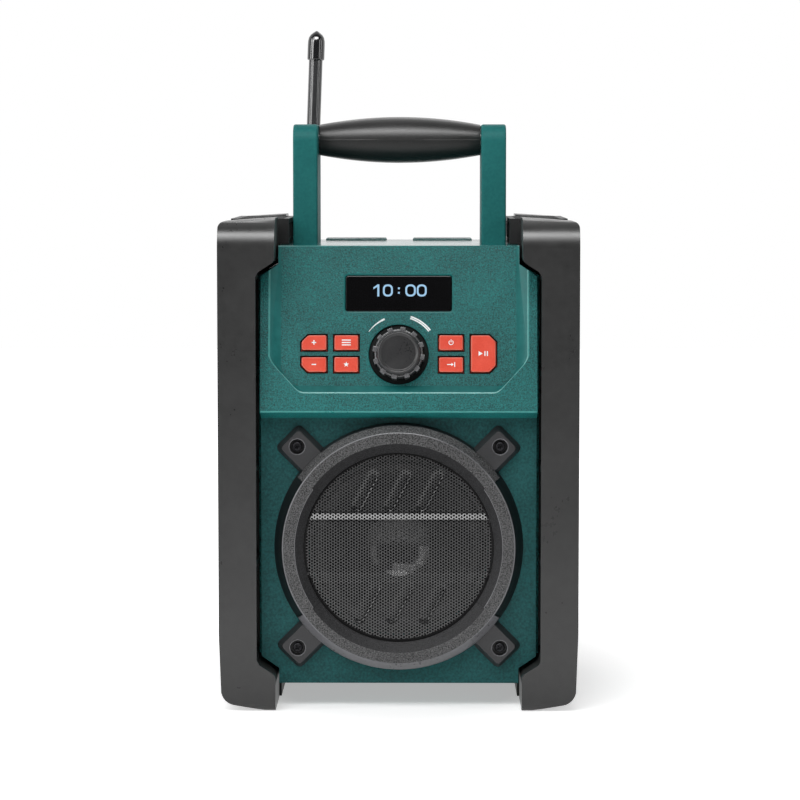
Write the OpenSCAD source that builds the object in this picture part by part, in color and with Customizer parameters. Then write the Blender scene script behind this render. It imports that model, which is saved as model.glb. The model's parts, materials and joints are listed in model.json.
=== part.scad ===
// Jobsite radio: tilted control section over a round speaker, side bumpers, fixed handle, rubber antenna.
// Frame: X to the right, front towards -Y, +Z up; the feet stand on z = 0 about the footprint's middle.

/* [Overall] */
// Width over the side bumpers
overall_w = 192.5; // [188:0.5:240]
// Height of the side bumpers
bumper_h = 264; // [256:1:320]
// Depth over the front and rear bumpers
overall_d = 180; // [176:1:220]

/* [Housing] */
// Wall thickness of the housing shells
wall = 2.6; // [2:0.1:3]
// Height of the housing's underside above the floor
body_z0 = 13; // [10:0.5:16]
// Height of the bumpers above the housing's top face
top_drop = 15; // [13:0.5:18]
// Setback of the speaker baffle behind the bumpers' front
baffle_set = 14; // [13:0.5:16]
// Setback of the control section's lip behind the bumpers' front
lip_set = 3; // [2:0.5:5]
// Height of the lip's front edge
lip_z = 160.7; // [160:0.1:162]
// Lean of the control section, in degrees
panel_lean = 10; // [8:0.5:11]
// Depth of the recessed control bay
bay_depth = 3; // [2.4:0.1:3.4]
// Depth of the rear shell, from its joint to its back face
rear_shell_d = 38; // [37:0.5:42]
// Setback of the housing's back face from the rear bumpers' back
rear_set = 28; // [26:0.5:30]

/* [Bumpers] */
// Depth of one bumper
bumper_d = 43; // [38:0.5:46]
// Width of a bumper's column
column_w = 20.25; // [19:0.25:22]
// Width of the groove between a bumper and the side frame
groove = 3.6; // [2.5:0.1:5]
// Thickness of a bumper's wall
bumper_wall = 3.5; // [3:0.1:5]
// Width of the step between a bumper's column and its arms
arm_step = 10; // [8:0.5:11]
// Height of a bumper's foot
foot_h = 19.3; // [17:0.1:20]
// Height of a bumper's upper arm
top_arm_h = 23; // [20:0.5:25]
// Inset of the side frame behind the bumpers' sides
frame_inset = 4.5; // [3:0.5:6]
// Height of the side frame's middle rail
mid_rail_h = 28; // [20:1:40]

/* [Handle] */
// Width of the handle over its two arms
handle_w = 117.2; // [110:0.2:118]
// Width of one handle arm
arm_w = 13.6; // [11:0.1:16]
// Depth of a handle arm, front to back
arm_d = 48; // [44:1:54]
// Height of the handle above the housing's top face
handle_rise = 65.5; // [50:0.5:90]
// Distance of the grip's axis below the handle's top
grip_drop = 8.5; // [8:0.1:12]
// Grip diameter at its ends
grip_end_dia = 17.1; // [16:0.1:18]
// Grip diameter at its middle
grip_mid_dia = 25.5; // [20:0.5:28]
// Diameter of the steel bar in the grip
bar_dia = 12; // [10:0.5:12]

/* [Speaker] */
// Height of the speaker's axis
spk_z = 87.3; // [86:0.1:88]
// Radius of the ring's foot
ring_r = 67; // [66:0.1:68]
// Height of the ring in front of the baffle
ring_h = 9.5; // [8:0.1:10]
// Radius of the ring's opening over the grille
grille_r = 51.2; // [42:0.1:52]
// Distance of a ring screw beyond the ring's foot
lug_out = 9.93; // [9:0.01:10.5]
// Speaker travel each way from rest
cone_travel = 1.5; // [0.5:0.1:2]

/* [Controls] */
// Width of the display window
lens_w = 56.9; // [50:0.1:60]
// Height of the display window
lens_h = 19.2; // [16:0.1:20]
// Width of an outer key's opening
key_outer_w = 14.2; // [12:0.1:15]
// Width of an inner key's opening
key_inner_w = 13.7; // [12:0.1:15]
// Height of a key's opening
key_h = 8.85; // [8:0.05:9.5]
// Distance between the two rows of keys
key_pitch = 11.8; // [11.5:0.1:13]
// Clearance round a key in its opening
key_gap = 0.5; // [0.3:0.05:0.7]
// Travel of a key
key_travel = 0.5; // [0.3:0.05:0.6]
// Diameter of the volume knob's ribs
knob_dia = 28; // [24:0.1:34]
// Height of the volume knob in front of the bay's floor
knob_h = 9.2; // [8:0.1:9.5]
// Diameter of the encoder's shaft
shaft_dia = 6; // [5:0.1:6]

/* [Antenna] */
// Distance of the antenna's hinge left of the middle
antenna_x = 55; // [54:0.5:56]
// Height of the antenna's hinge
antenna_z = 205; // [195:1:225]
// Diameter of the rubber rod
antenna_dia = 7.9; // [6:0.1:9]
// Diameter of the antenna's end cap
antenna_cap_dia = 9.9; // [9:0.1:12]
// Length of the antenna from its hinge to its tip
antenna_len = 165; // [100:1:180]
// Sideways lean of the antenna, in degrees
antenna_lean = 2.1; // [0:0.1:3]

/* [Battery bay and sockets] */
// Diameter of a battery cell
cell_dia = 26; // [20:0.1:32]
// Length of a battery cell
cell_len = 50; // [40:0.5:60]
// Diameter of the audio socket's hole
aux_dia = 3.5; // [2.5:0.1:4.2]
// Diameter of the DC inlet's hole
dc_dia = 5.7; // [5.5:0.1:6]
// Width of the rubber port cover
port_w = 40; // [36:1:44]
// Height of the rubber port cover
port_h = 20; // [18:1:22]

/* [Fits] */
// Radial clearance of a pin or a shaft that turns
run_gap = 0.05; // [0.02:0.01:0.1]
// Clearance between separate pieces that only sit beside each other
sit_gap = 0.3; // [0.2:0.05:0.4]
// Radial clearance round a screw
screw_gap = 0.05; // [0.02:0.01:0.2]

/* [Hidden] */
$fn = 48;
eps = 0.01;

// Planes along Y
y_front = -overall_d / 2;
y_back = overall_d / 2;
y_lip = y_front + lip_set;
y_baffle = y_front + baffle_set;
y_rear = y_back - rear_set;
y_joint = y_rear - rear_shell_d;

// Half widths: bumper outside, bumper column inside, bumper arm inside, and the housing behind them
bumper_x = overall_w / 2;
column_x = bumper_x - column_w;
arm_x = column_x - arm_step;
shell_x = column_x - sit_gap;
shell_arm_x = arm_x - 1.4;
bezel_x = column_x - 2;
bezel_d = 12;
frame_x = bumper_x - frame_inset;
frame_arm_x = shell_arm_x + sit_gap;
// Half width that encloses every piece, for cuts that run right through
reach = overall_w;

// Heights of the steps in the bumpers' inner outline
step_rise = 6.4;
arm_z = bumper_h - top_arm_h;
step_gap = 1.9;
body_z1 = bumper_h - top_drop;

// Control panel frame: origin on the lip's front edge, u right, v up the panel, w outwards
lip_under = 4;
panel_back_w = -bay_depth - wall;
knob_v = 31.4;
lens_v = 64.35;
key_v = [knob_v + 6.25, knob_v + 6.25 - key_pitch];
key_outer_u = 45.3;
key_inner_u = 28;
key_cut = 3.75;
key_cap_h = 1.6;
key_flange_t = 0.9;
switch_h = 2.2;
plunger_h = 3;
plunger_r = 1.6;
board_w = panel_back_w - 6;
board_t = 1.6;
display_w = panel_back_w - 3.2;
display_t = 1.2;
post_r = 3;

// Screws: [shank radius, length, head radius, head height]
ring_screw_size = [1.5, 12, 2.75, 2];
board_screw_size = [1.3, 6, 2.3, 1.6];
display_screw_size = [1.3, 4, 2.3, 1.6];
case_screw_size = [1.5, 14, 2.75, 2];
handle_screw_size = [2, 16, 4, 2.4];
bumper_screw_size = [1.7, 9, 3.4, 2];
speaker_screw_size = [1.3, 4.2, 2, 1.4];
head_gap = 0.3;
boss_r = 4;
case_sink = 6;
bumper_sink = 5;
handle_sink = 2.6;

// Speaker: radii, and thicknesses behind the baffle
spk_hole_r = grille_r - 3.2;
spk_flange_r = spk_hole_r + 6;
spk_screw_r = spk_hole_r + 3.4;
basket_r = spk_hole_r - 1;
surround_r = 4.2;
cone_r = basket_r - 2 * surround_r - 0.4;
gasket_t = 1;
flange_t = 1.5;
coil_r = 12.7;
coil_t = 0.4;
coil_len = 15 + 2 * cone_travel;
cone_back_z = -15.2;
// Inner radius of the cone at a height z behind the flange
function cone_in(z) = coil_r + coil_t + (cone_r - 1.2 - coil_r - coil_t) * (z - cone_back_z) / (-0.1 - cone_back_z);
dust_rim_z = -12;
dust_r = cone_in(dust_rim_z) - 0.1;
dust_t = 0.7;
// The dust cap's ball runs through its rim on the cone and passes just in front of the coil's end
coil_top_z = -15;
dust_over_coil = 0.296;
dust_back_z = coil_top_z + dust_over_coil;
dust_ball_z = (pow(dust_rim_z, 2) - pow(dust_back_z, 2) + pow(dust_r, 2) - pow(coil_r + coil_t, 2))
  / (2 * (dust_rim_z - dust_back_z));
dust_back_r = sqrt(pow(dust_rim_z - dust_ball_z, 2) + pow(dust_r, 2));
magnet_r = 29;
magnet_z = -32;
magnet_h = 10;
spider_z = -22;
basket_back_r = 32;
// Inner radius of the basket's open cone at a height z behind the flange; the spider ends just inside it
function basket_in(z) = basket_back_r - 1.4
  + (basket_r - basket_back_r + 1.4) * (z - magnet_z - 6.6) / (-flange_t - magnet_z - 6.6);
spider_r = basket_in(spider_z) - 0.4;
ring_screw = (ring_r + lug_out) / sqrt(2);
lug_h = 5;
lug_past = 8;
grille_z = 3.4;
grille_t = 0.6;

// Battery bay
bay_cols = 3;
bay_rows = 2;
cell_gap = 0.6;
contact_t = 2;
contact_half = 7;
bay_half_w = (bay_rows * cell_len + 12) / 2;
bay_z0 = body_z0 + 14;
bay_h = bay_cols * (cell_dia + cell_gap) + cell_gap;
bay_z1 = bay_z0 + bay_h;
bay_floor_y = y_rear - wall - cell_dia - 2 * cell_gap;
door_t = 2.6;
door_lap = 3.6;
door_hinge_z = bay_z0 - 5;
door_hinge_y = y_rear + 2.9;
hinge_pin_r = 1.5;
hinge_knuckle_r = 2.6;
knuckle_x = 30;
knuckle_half = 3.7;
ear_x = knuckle_x + 8;
ear_half = 4;

// Sockets on the rear wall
port_x = 32;
port_z = 196;
port_depth = 3;
port_floor_y = y_rear - port_depth;
port_hinge_z = port_z - port_h / 2 - 1.4;
port_hinge_y = port_floor_y + 1.6;
port_gap = 0.4;
main_board_y = y_rear - 19;
board_z0 = 130;
board_z1 = 234;
board_half = 62;
aux_x = port_x - 9;
aux_nose_r = 3;
dc_x = port_x + 8;
dc_nose_r = 4.5;
dc_pin_r = 1.05;

// Handle
handle_y = -4;
handle_z = body_z1 + handle_rise;
grip_z = handle_z - grip_drop;
arm_y0 = handle_y - arm_d / 2;
arm_y1 = handle_y + arm_d / 2;
grip_half = handle_w / 2 - arm_w;
bar_in = 5;

// Antenna
antenna_y = y_rear + 10;
antenna_pin_r = 1.5;
knuckle_w = 7;
yoke_r = 4.5;
yoke_ear = 2.8;
yoke_drop = 6;
cap_len = 17;
cap_lap = 4;

// ---------- helpers ----------

// Points of an arc about [cx, cz]
function arc(cx, cz, r, a0, a1, n = 6) = [for (i = [0 : n]) let (a = a0 + (a1 - a0) * i / n)
  [cx + r * cos(a), cz + r * sin(a)]];
// The other half of an outline that is symmetrical about X = 0
function mirrored(p) = [for (i = [len(p) - 1 : -1 : 0]) [-p[i][0], p[i][1]]];

// Extrudes an X-Z outline from y0 to y1
module along_y(y0, y1) {
  translate([0, y1, 0]) rotate([90, 0, 0]) linear_extrude(y1 - y0) children();
}
// Extrudes a Y-Z outline from x0 to x1
module along_x(x0, x1) {
  translate([x0, 0, 0]) rotate([90, 0, 90]) linear_extrude(x1 - x0) children();
}
// Places children in the control panel's frame
module on_panel() {
  translate([0, y_lip, lip_z]) rotate([90 - panel_lean, 0, 0]) children();
}
// Places children on the speaker's axis, +Z forwards from the baffle's front face
module on_speaker() {
  translate([0, y_baffle, spk_z]) rotate([90, 0, 0]) children();
}
// A box given by its two corners
module box(lo, hi) {
  translate(lo) cube(hi - lo);
}
// A cylinder along Y from y0 to y1
module rod_y(x, z, r, y0, y1) {
  translate([x, y0, z]) rotate([-90, 0, 0]) cylinder(r = r, h = y1 - y0);
}
// A cylinder along X from x0 to x1
module rod_x(y, z, r, x0, x1) {
  translate([x0, y, z]) rotate([0, 90, 0]) cylinder(r = r, h = x1 - x0);
}
// A pan-head screw whose head sits on z = 0 and whose shank points to -Z
module screw(s) {
  difference() {
    union() {
      cylinder(r = s[2], h = s[3]);
      translate([0, 0, -s[1]]) cylinder(r = s[0], h = s[1] + eps);
    }
    for (a = [0, 90]) rotate(a) translate([-s[2] * 0.55, -s[0] * 0.2, s[3] - 1])
      cube([s[2] * 1.1, s[0] * 0.4, 2]);
  }
}
// A rectangle with rounded corners, centred
module round_rect(w, h, r) {
  union() {
    square([w - 2 * r, h], center = true);
    square([w, h - 2 * r], center = true);
    for (x = [-1, 1], y = [-1, 1]) translate([x * (w / 2 - r), y * (h / 2 - r)]) circle(r);
  }
}

// ---------- housing ----------

// Front outline of the housing: column half width, arm half width, and growth of all edges
function body_points(col, arm, grow) = [
  [arm + grow, body_z0 - grow], [arm + grow, foot_h + step_gap + grow / 2],
  [col + grow, foot_h + step_rise + step_gap + grow / 2],
  [col + grow, arm_z - step_rise - step_gap - grow / 2],
  [arm + grow, arm_z - step_gap - grow / 2], [arm + grow, body_z1 + grow]
];
module body_outline(col, arm, grow = 0) {
  p = body_points(col, arm, grow);
  polygon(concat(p, mirrored(p)));
}
// Side outline of the front shell, with its walls moved in by t
module front_side(t) {
  lip_y = y_lip + (t > 0 ? t + bay_depth : 0) / cos(panel_lean);
  polygon([
    [y_joint + (t > 0 ? 1 : 0), body_z0 + t], [y_baffle + t, body_z0 + t],
    [y_baffle + t, lip_z - lip_under + t], [lip_y + t * tan(panel_lean), lip_z + t],
    [lip_y + (body_z1 - t - lip_z) * tan(panel_lean), body_z1 - t],
    [y_joint + (t > 0 ? 1 : 0), body_z1 - t]
  ]);
}
// The recessed bay in the control section, in the panel's frame
module bay_cut() {
  half = bezel_x - 4.7;
  bevel = 6.3;
  low = 10.5;
  low_half = half - 16.5;
  corner = 18;
  past = 8;
  intersection() {
    translate([0, reach, 0]) rotate([90, 0, 0]) linear_extrude(reach)
      polygon([[-half - bevel, bay_depth], [half + bevel, bay_depth],
               [half - bevel, -bay_depth], [-half + bevel, -bay_depth]]);
    translate([-reach, 0, 0]) rotate([90, 0, 90]) linear_extrude(2 * reach)
      polygon([[low - 4, bay_depth], [low + 4, -bay_depth], [reach, -bay_depth], [reach, bay_depth]]);
    translate([0, 0, -bay_depth]) linear_extrude(2 * bay_depth)
      polygon([[-low_half, 0], [low_half, 0], [low_half, low], [half, low + corner],
               [half + past, low + corner], [half + past, reach], [-half - past, reach],
               [-half - past, low + corner], [-half, low + corner], [-low_half, low]]);
  }
}
// The seven keys: [u, v, width, height, side of the cut corners, upper cut, lower cut]
KEYS = [
  [-key_outer_u, key_v[0], key_outer_w, key_h, -1, 1, 0],
  [-key_outer_u, key_v[1], key_outer_w, key_h, -1, 0, 1],
  [-key_inner_u, key_v[0], key_inner_w, key_h, -1, 0, 0],
  [-key_inner_u, key_v[1], key_inner_w, key_h, -1, 0, 0],
  [key_inner_u, key_v[0], key_inner_w, key_h, 1, 0, 0],
  [key_inner_u, key_v[1], key_inner_w, key_h, 1, 0, 0],
  [key_outer_u, (key_v[0] + key_v[1]) / 2, key_outer_w, key_h + key_pitch, 1, 1, 1]
];
// Outline of a key's opening, shrunk by g on every side
module key_shape(k, g) {
  x = k[2] / 2 - g;
  y = k[3] / 2 - g;
  cut = (key_cut - g * 0.6) * sqrt(2);
  translate([k[0], k[1]]) difference() {
    square([2 * x, 2 * y], center = true);
    if (k[5] > 0) translate([k[4] * x, y]) rotate(45) square(cut, center = true);
    if (k[6] > 0) translate([k[4] * x, -y]) rotate(45) square(cut, center = true);
  }
}
// Screw places on the panel's back: control board, then display module
PANEL_POSTS = [for (u = [-57, 57], v = [16, 47]) [u, v]];
DISPLAY_POSTS = [for (u = [-lens_w / 2 - 6, lens_w / 2 + 6], s = [-7, 7]) [u, lens_v + s]];
// Screw places seen from the front: case halves, whose bosses merge with the walls, then speaker and ring
boss_in = wall + boss_r - 1;
case_low_x = 52;
case_mid_z = 150;
case_top_x = 36;
CASE_POINTS = [[case_low_x, body_z0 + boss_in], [shell_x - boss_in, case_mid_z],
               [case_top_x, body_z1 - boss_in]];
CASE_SCREWS = [for (s = [-1, 1], p = CASE_POINTS) [s * p[0], p[1]]];
SPEAKER_SCREWS = [for (a = [45 : 90 : 315]) [spk_screw_r * cos(a), spk_screw_r * sin(a)]];
RING_SCREWS = [for (sx = [-1, 1], sz = [-1, 1]) [sx * ring_screw, sz * ring_screw]];
BOARD_POSTS = [[-56, board_z0 + 6], [56, board_z0 + 6], [-56, board_z1 - 6], [48, board_z1 - 6]];
// Screw places along Y under each handle arm
HANDLE_Y = [arm_y0 + 10, arm_y1 - 10];

module front_housing() color("#1f6660") difference() {
  union() {
    difference() {
      intersection() {
        along_x(-reach, reach) front_side(0);
        union() {
          along_y(y_front, y_baffle + bezel_d) body_outline(bezel_x, shell_arm_x);
          along_y(y_baffle + bezel_d, y_joint) body_outline(shell_x, shell_arm_x);
        }
      }
      intersection() {
        along_x(-reach, reach) front_side(wall);
        along_y(y_front, y_joint + 2) body_outline(bezel_x, shell_arm_x, -wall);
      }
      on_panel() bay_cut();
    }
    // Posts and bosses behind the panel, the baffle and the rear edge
    intersection() {
      union() {
        on_panel() {
          for (p = PANEL_POSTS) translate([p[0], p[1], board_w])
            cylinder(r = post_r, h = panel_back_w - board_w + eps);
          for (p = DISPLAY_POSTS) translate([p[0], p[1], display_w])
            cylinder(r = post_r - 0.6, h = panel_back_w - display_w + eps);
        }
        for (p = RING_SCREWS) rod_y(p[0], spk_z + p[1], boss_r, y_baffle + wall - eps, y_baffle + 12);
        for (p = CASE_SCREWS) rod_y(p[0], p[1], boss_r, y_joint - 14, y_joint);
      }
      along_x(-reach, reach) front_side(0);
      along_y(y_front, y_joint) body_outline(bezel_x, shell_arm_x, -0.5);
    }
  }
  // Openings in the panel: window, keys, knob dish, bushing and screw pilots
  on_panel() {
    translate([0, lens_v, board_w]) linear_extrude(-board_w) round_rect(lens_w, lens_h, 1.3);
    for (k = KEYS) translate([0, 0, board_w]) linear_extrude(-board_w) key_shape(k, 0);
    translate([0, knob_v, dish_w]) cylinder(r = knob_dia / 2 + 2, h = bay_depth + 1.2);
    translate([0, knob_v, board_w]) cylinder(r = bush_r + screw_gap, h = -board_w);
    for (p = PANEL_POSTS) translate([p[0], p[1], board_w - 1])
      cylinder(r = board_screw_size[0] + screw_gap, h = board_screw_size[1] + 1);
    for (p = DISPLAY_POSTS) translate([p[0], p[1], display_w - 1])
      cylinder(r = display_screw_size[0] + screw_gap, h = display_screw_size[1] + 0.6);
  }
  rod_y(0, spk_z, spk_hole_r, y_baffle - 1, y_baffle + wall + 1);
  for (p = RING_SCREWS)
    rod_y(p[0], spk_z + p[1], ring_screw_size[0] + screw_gap, y_baffle - 1, y_baffle + 11);
  for (p = SPEAKER_SCREWS)
    rod_y(p[0], spk_z + p[1], speaker_screw_size[0] + screw_gap, y_baffle + 0.6, y_baffle + wall + 1);
  for (p = CASE_SCREWS) rod_y(p[0], p[1], case_screw_size[0] + screw_gap, y_joint - 13, y_joint + 1);
  for (s = [-1, 1], y = HANDLE_Y) translate([s * (handle_w - arm_w) / 2, y, body_z1 - wall - 1])
    cylinder(r = handle_screw_size[0] + screw_gap, h = wall + 2);
  bumper_holes();
}
// Side frame screws: two in each rail, into the front shell
rail_z = [foot_h / 2 + 6, arm_z / 2 + 11.5, arm_z - 12];
BUMPER_SCREWS = [for (z = rail_z, y = [y_joint - 54, y_joint - 16]) [y, z]];
module bumper_holes() {
  for (s = [0, 1], p = BUMPER_SCREWS) mirror([s, 0, 0])
    rod_x(p[0], p[1], bumper_screw_size[0] + screw_gap, shell_x - 6, frame_x);
}

module rear_housing() color("#1d5f5a") difference() {
  union() {
    difference() {
      along_y(y_joint + 1, y_rear) body_outline(shell_x, shell_arm_x);
      difference() {
        along_y(y_joint, y_rear - wall) body_outline(shell_x, shell_arm_x, -wall);
        // Walls that stay inside the shell: battery bay, socket block, screw bosses, board posts
        box([-bay_half_w - wall, bay_floor_y - wall, bay_z0 - wall],
            [bay_half_w + wall, y_rear, bay_z1 + wall]);
        box([port_x - port_w / 2 - 5, port_floor_y - wall, port_z - port_h / 2 - 7],
            [port_x + port_w / 2 + 5, y_rear, port_z + port_h / 2 + 5]);
        for (p = CASE_SCREWS) rod_y(p[0], p[1], boss_r, y_joint + 1, y_rear);
        for (p = BOARD_POSTS) rod_y(p[0], p[1], post_r, main_board_y, y_rear);
      }
    }
    // Two low pads on the top face
    for (x = [[-43, -8], [7, 41]]) box([x[0], y_rear - 16, body_z1 - 1], [x[1], y_rear - 3, body_z1 + 1.4]);
    // Shelf that carries the antenna's yoke
    box([-antenna_x - 8, y_rear - 1, antenna_z - yoke_drop - 8],
        [-antenna_x + 8, antenna_y + 5, antenna_z - yoke_drop]);
    // Two ears that hold the battery door's hinge pins
    for (s = [-1, 1]) {
      rod_x(door_hinge_y, door_hinge_z, hinge_knuckle_r, s * ear_x - ear_half, s * ear_x + ear_half);
      box([s * ear_x - ear_half, y_rear - 1, door_hinge_z - hinge_knuckle_r],
          [s * ear_x + ear_half, door_hinge_y, door_hinge_z + hinge_knuckle_r]);
    }
  }
  // Battery bay, its door's rebate and the bore of the door's hinge
  box([-bay_half_w, bay_floor_y, bay_z0], [bay_half_w, y_rear + 1, bay_z1]);
  box([-bay_half_w - door_lap - 0.4, y_rear - door_t - sit_gap, bay_z0 - 2],
      [bay_half_w + door_lap + 0.4, y_rear + 1, bay_z1 + door_lap + 0.4]);
  rod_x(door_hinge_y, door_hinge_z, hinge_pin_r + run_gap, -ear_x - ear_half - 1, ear_x + ear_half + 1);
  // Port recess and the sockets' holes
  box([port_x - port_w / 2 - port_gap, port_floor_y, port_z - port_h / 2 - 4],
      [port_x + port_w / 2 + port_gap, y_rear + 1, port_z + port_h / 2 + port_gap]);
  rod_y(aux_x, port_z, aux_nose_r + screw_gap, port_floor_y - 6, y_rear);
  rod_y(dc_x, port_z, dc_nose_r + screw_gap, port_floor_y - 6, y_rear);
  for (p = BOARD_POSTS)
    rod_y(p[0], p[1], board_screw_size[0] + screw_gap, main_board_y - 1, main_board_y + board_screw_size[1]);
  for (p = CASE_SCREWS) {
    rod_y(p[0], p[1], case_screw_size[0] + screw_gap, y_joint, y_rear + 1);
    rod_y(p[0], p[1], case_screw_size[2] + head_gap, y_joint + case_sink, y_rear + 1);
  }
}

module housing_seal() color("#1c1c1c") difference() {
  along_y(y_joint, y_joint + 1) body_outline(shell_x, shell_arm_x, -0.6);
  along_y(y_joint - 1, y_joint + 2) body_outline(shell_x, shell_arm_x, -wall);
}
module case_screws() color("#2a2a2c") for (p = CASE_SCREWS)
  translate([p[0], y_joint + case_sink, p[1]]) rotate([-90, 0, 0]) screw(case_screw_size);

// ---------- bumpers and side frames (right side; the left is its mirror image) ----------

function bumper_points() = concat(
  [[arm_x, 0], [arm_x + 4, 0]],
  arc(bumper_x - 9.4, 11.6, 8.4, -80, -10),
  [[bumper_x, 42], [bumper_x, bumper_h - 6]],
  arc(bumper_x - 3.5, bumper_h - 5.3, 3.5, 0, 86),
  [[arm_x, bumper_h], [arm_x, arm_z], [column_x, arm_z - step_rise],
   [column_x, foot_h + step_rise], [arm_x, foot_h]]);
// Side outline of a front bumper: rolled top, small radii elsewhere
module bumper_side() {
  polygon(concat(
    [[y_front + bumper_d, 0]],
    arc(y_front + 4, 4, 4, 270, 180, 4),
    arc(y_front + 16, bumper_h - 16, 16, 180, 90, 8),
    arc(y_front + bumper_d - 3, bumper_h - 3, 3, 90, 0, 4)));
}
module bumper(pocket_d) difference() {
  intersection() {
    along_y(y_front, y_front + bumper_d) polygon(bumper_points());
    along_x(0, reach) bumper_side();
  }
  // Pockets between ribs, open towards the housing that covers them
  n = 4;
  z0 = foot_h + step_rise + 2;
  z1 = arm_z - step_rise - 2;
  pitch = (z1 - z0) / n;
  for (i = [0 : n - 1])
    box([column_x - 1, y_front + bumper_d - bumper_wall - pocket_d, z0 + i * pitch + 1.5],
        [bumper_x - bumper_wall, y_front + bumper_d - bumper_wall, z0 + (i + 1) * pitch - 1.5]);
}
front_pocket_d = bumper_d - 2 * bumper_wall;
rear_pocket_d = y_rear - (y_back - bumper_d) - bumper_wall - 2;
module front_bumper_right() color("#3a3a3b") bumper(front_pocket_d);
module front_bumper_left() color("#3a3a3b") mirror([1, 0, 0]) bumper(front_pocket_d);
module rear_bumper_right() color("#3a3a3b") mirror([0, 1, 0]) bumper(rear_pocket_d);
module rear_bumper_left() color("#3a3a3b") mirror([1, 0, 0]) mirror([0, 1, 0]) bumper(rear_pocket_d);

// One side frame: rails with necks that bridge the grooves, and an openwork bridge over the housing's edge
module side_frame() {
  y1 = y_back - bumper_d - groove;
  y_neck = y_back - bumper_d;
  neck = 4;
  rails = [[frame_arm_x, 0, foot_h], [column_x, rail_z[1] - mid_rail_h / 2, rail_z[1] + mid_rail_h / 2],
           [frame_arm_x, arm_z, bumper_h - 1]];
  difference() {
    union() {
      for (r = rails) {
        box([r[0], -y1, r[1]], [frame_x, y1, r[2]]);
        box([r[0] + 1.6, -y_neck, r[1] + neck], [frame_x - neck, y_neck, r[2] - neck]);
      }
      // Column-side parts of the top and bottom rails
      box([column_x, -y1, foot_h - 1], [frame_x, y1, foot_h + step_rise + 6]);
      box([column_x, -y1, arm_z - step_rise - 12], [frame_x, y1, arm_z + 1]);
      // Bridge beside the handle's arms
      box([bridge_x0, -y1, body_z1 + sit_gap], [frame_arm_x + 1, y1, bumper_h - 1]);
    }
    // Windows through the bridge and pockets between the top rail's ribs
    for (i = [-2 : 2]) {
      box([bridge_x0 - 1, i * 17 - 6, body_z1 + 3], [bridge_x0 + 3.2, i * 17 + 6, bumper_h - 3.4]);
      box([bridge_x0 + 3.1, i * 17 - 6, body_z1 + 4.6], [frame_x - 4, i * 17 + 6, bumper_h]);
    }
    for (p = BUMPER_SCREWS) {
      rod_x(p[0], p[1], bumper_screw_size[0] + screw_gap, shell_x - 6, frame_x + 1);
      rod_x(p[0], p[1], bumper_screw_size[2] + head_gap, column_x + bumper_sink, frame_x + 1);
    }
  }
}
bridge_x0 = handle_w / 2 + 1.6;
module side_frame_right() color("#343435") side_frame();
module side_frame_left() color("#343435") mirror([1, 0, 0]) side_frame();
module bumper_screws() color("#2a2a2c") for (s = [0, 1]) mirror([s, 0, 0]) for (p = BUMPER_SCREWS)
  translate([column_x + bumper_sink, p[0], p[1]]) rotate([0, 90, 0]) screw(bumper_screw_size);

// ---------- handle ----------

module handle_arm() difference() {
  corner = 9;
  along_x(handle_w / 2 - arm_w, handle_w / 2) polygon(concat(
    [[arm_y0, body_z1], [arm_y0, body_z1 + 4]],
    arc(arm_y0 + corner, handle_z - corner, corner, 180, 90, 6),
    arc(arm_y1 - corner, handle_z - corner, corner, 90, 0, 6),
    [[arm_y1, body_z1]]));
  rod_x(handle_y, grip_z, bar_dia / 2 + screw_gap, handle_w / 2 - arm_w - 1, handle_w / 2 - bar_in);
  rod_x(handle_y, grip_z, handle_screw_size[0] + screw_gap, handle_w / 2 - bar_in - 1, handle_w / 2 + 1);
  rod_x(handle_y, grip_z, handle_screw_size[2] + head_gap, handle_w / 2 - handle_sink, handle_w / 2 + 1);
  for (y = HANDLE_Y) translate([(handle_w - arm_w) / 2, y, body_z1 - 1])
    cylinder(r = handle_screw_size[0] + screw_gap, h = handle_screw_size[1]);
}
module handle_arm_right() color("#21685f") handle_arm();
module handle_arm_left() color("#21685f") mirror([1, 0, 0]) handle_arm();
module handle_bar() color("#9a9da0") difference() {
  rod_x(handle_y, grip_z, bar_dia / 2, -handle_w / 2 + bar_in, handle_w / 2 - bar_in);
  for (s = [-1, 1]) translate([s * (handle_w / 2 - bar_in - 8), 0, 0])
    rod_x(handle_y, grip_z, handle_screw_size[0] + screw_gap, -9, 9);
}
module handle_grip() color("#2c2c2d") translate([0, handle_y, grip_z]) rotate([0, 90, 0])
  rotate_extrude($fn = 64) {
    n = 16;
    half = grip_half - 0.1;
    bulge = (grip_mid_dia - grip_end_dia) / 2;
    polygon(concat([[bar_dia / 2 + screw_gap, -half]],
      [for (i = [-n : n]) [grip_end_dia / 2 + bulge * (1 - pow(i / n, 2)), i / n * half]],
      [[bar_dia / 2 + screw_gap, half]]));
  }
module handle_screws() color("#2a2a2c") {
  for (s = [-1, 1], y = HANDLE_Y) translate([s * (handle_w - arm_w) / 2, y, body_z1 - wall])
    rotate([180, 0, 0]) screw(handle_screw_size);
  for (s = [0, 1]) mirror([s, 0, 0]) translate([handle_w / 2 - handle_sink, handle_y, grip_z])
    rotate([0, 90, 0]) screw(handle_screw_size);
}

// ---------- speaker ----------

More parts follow.
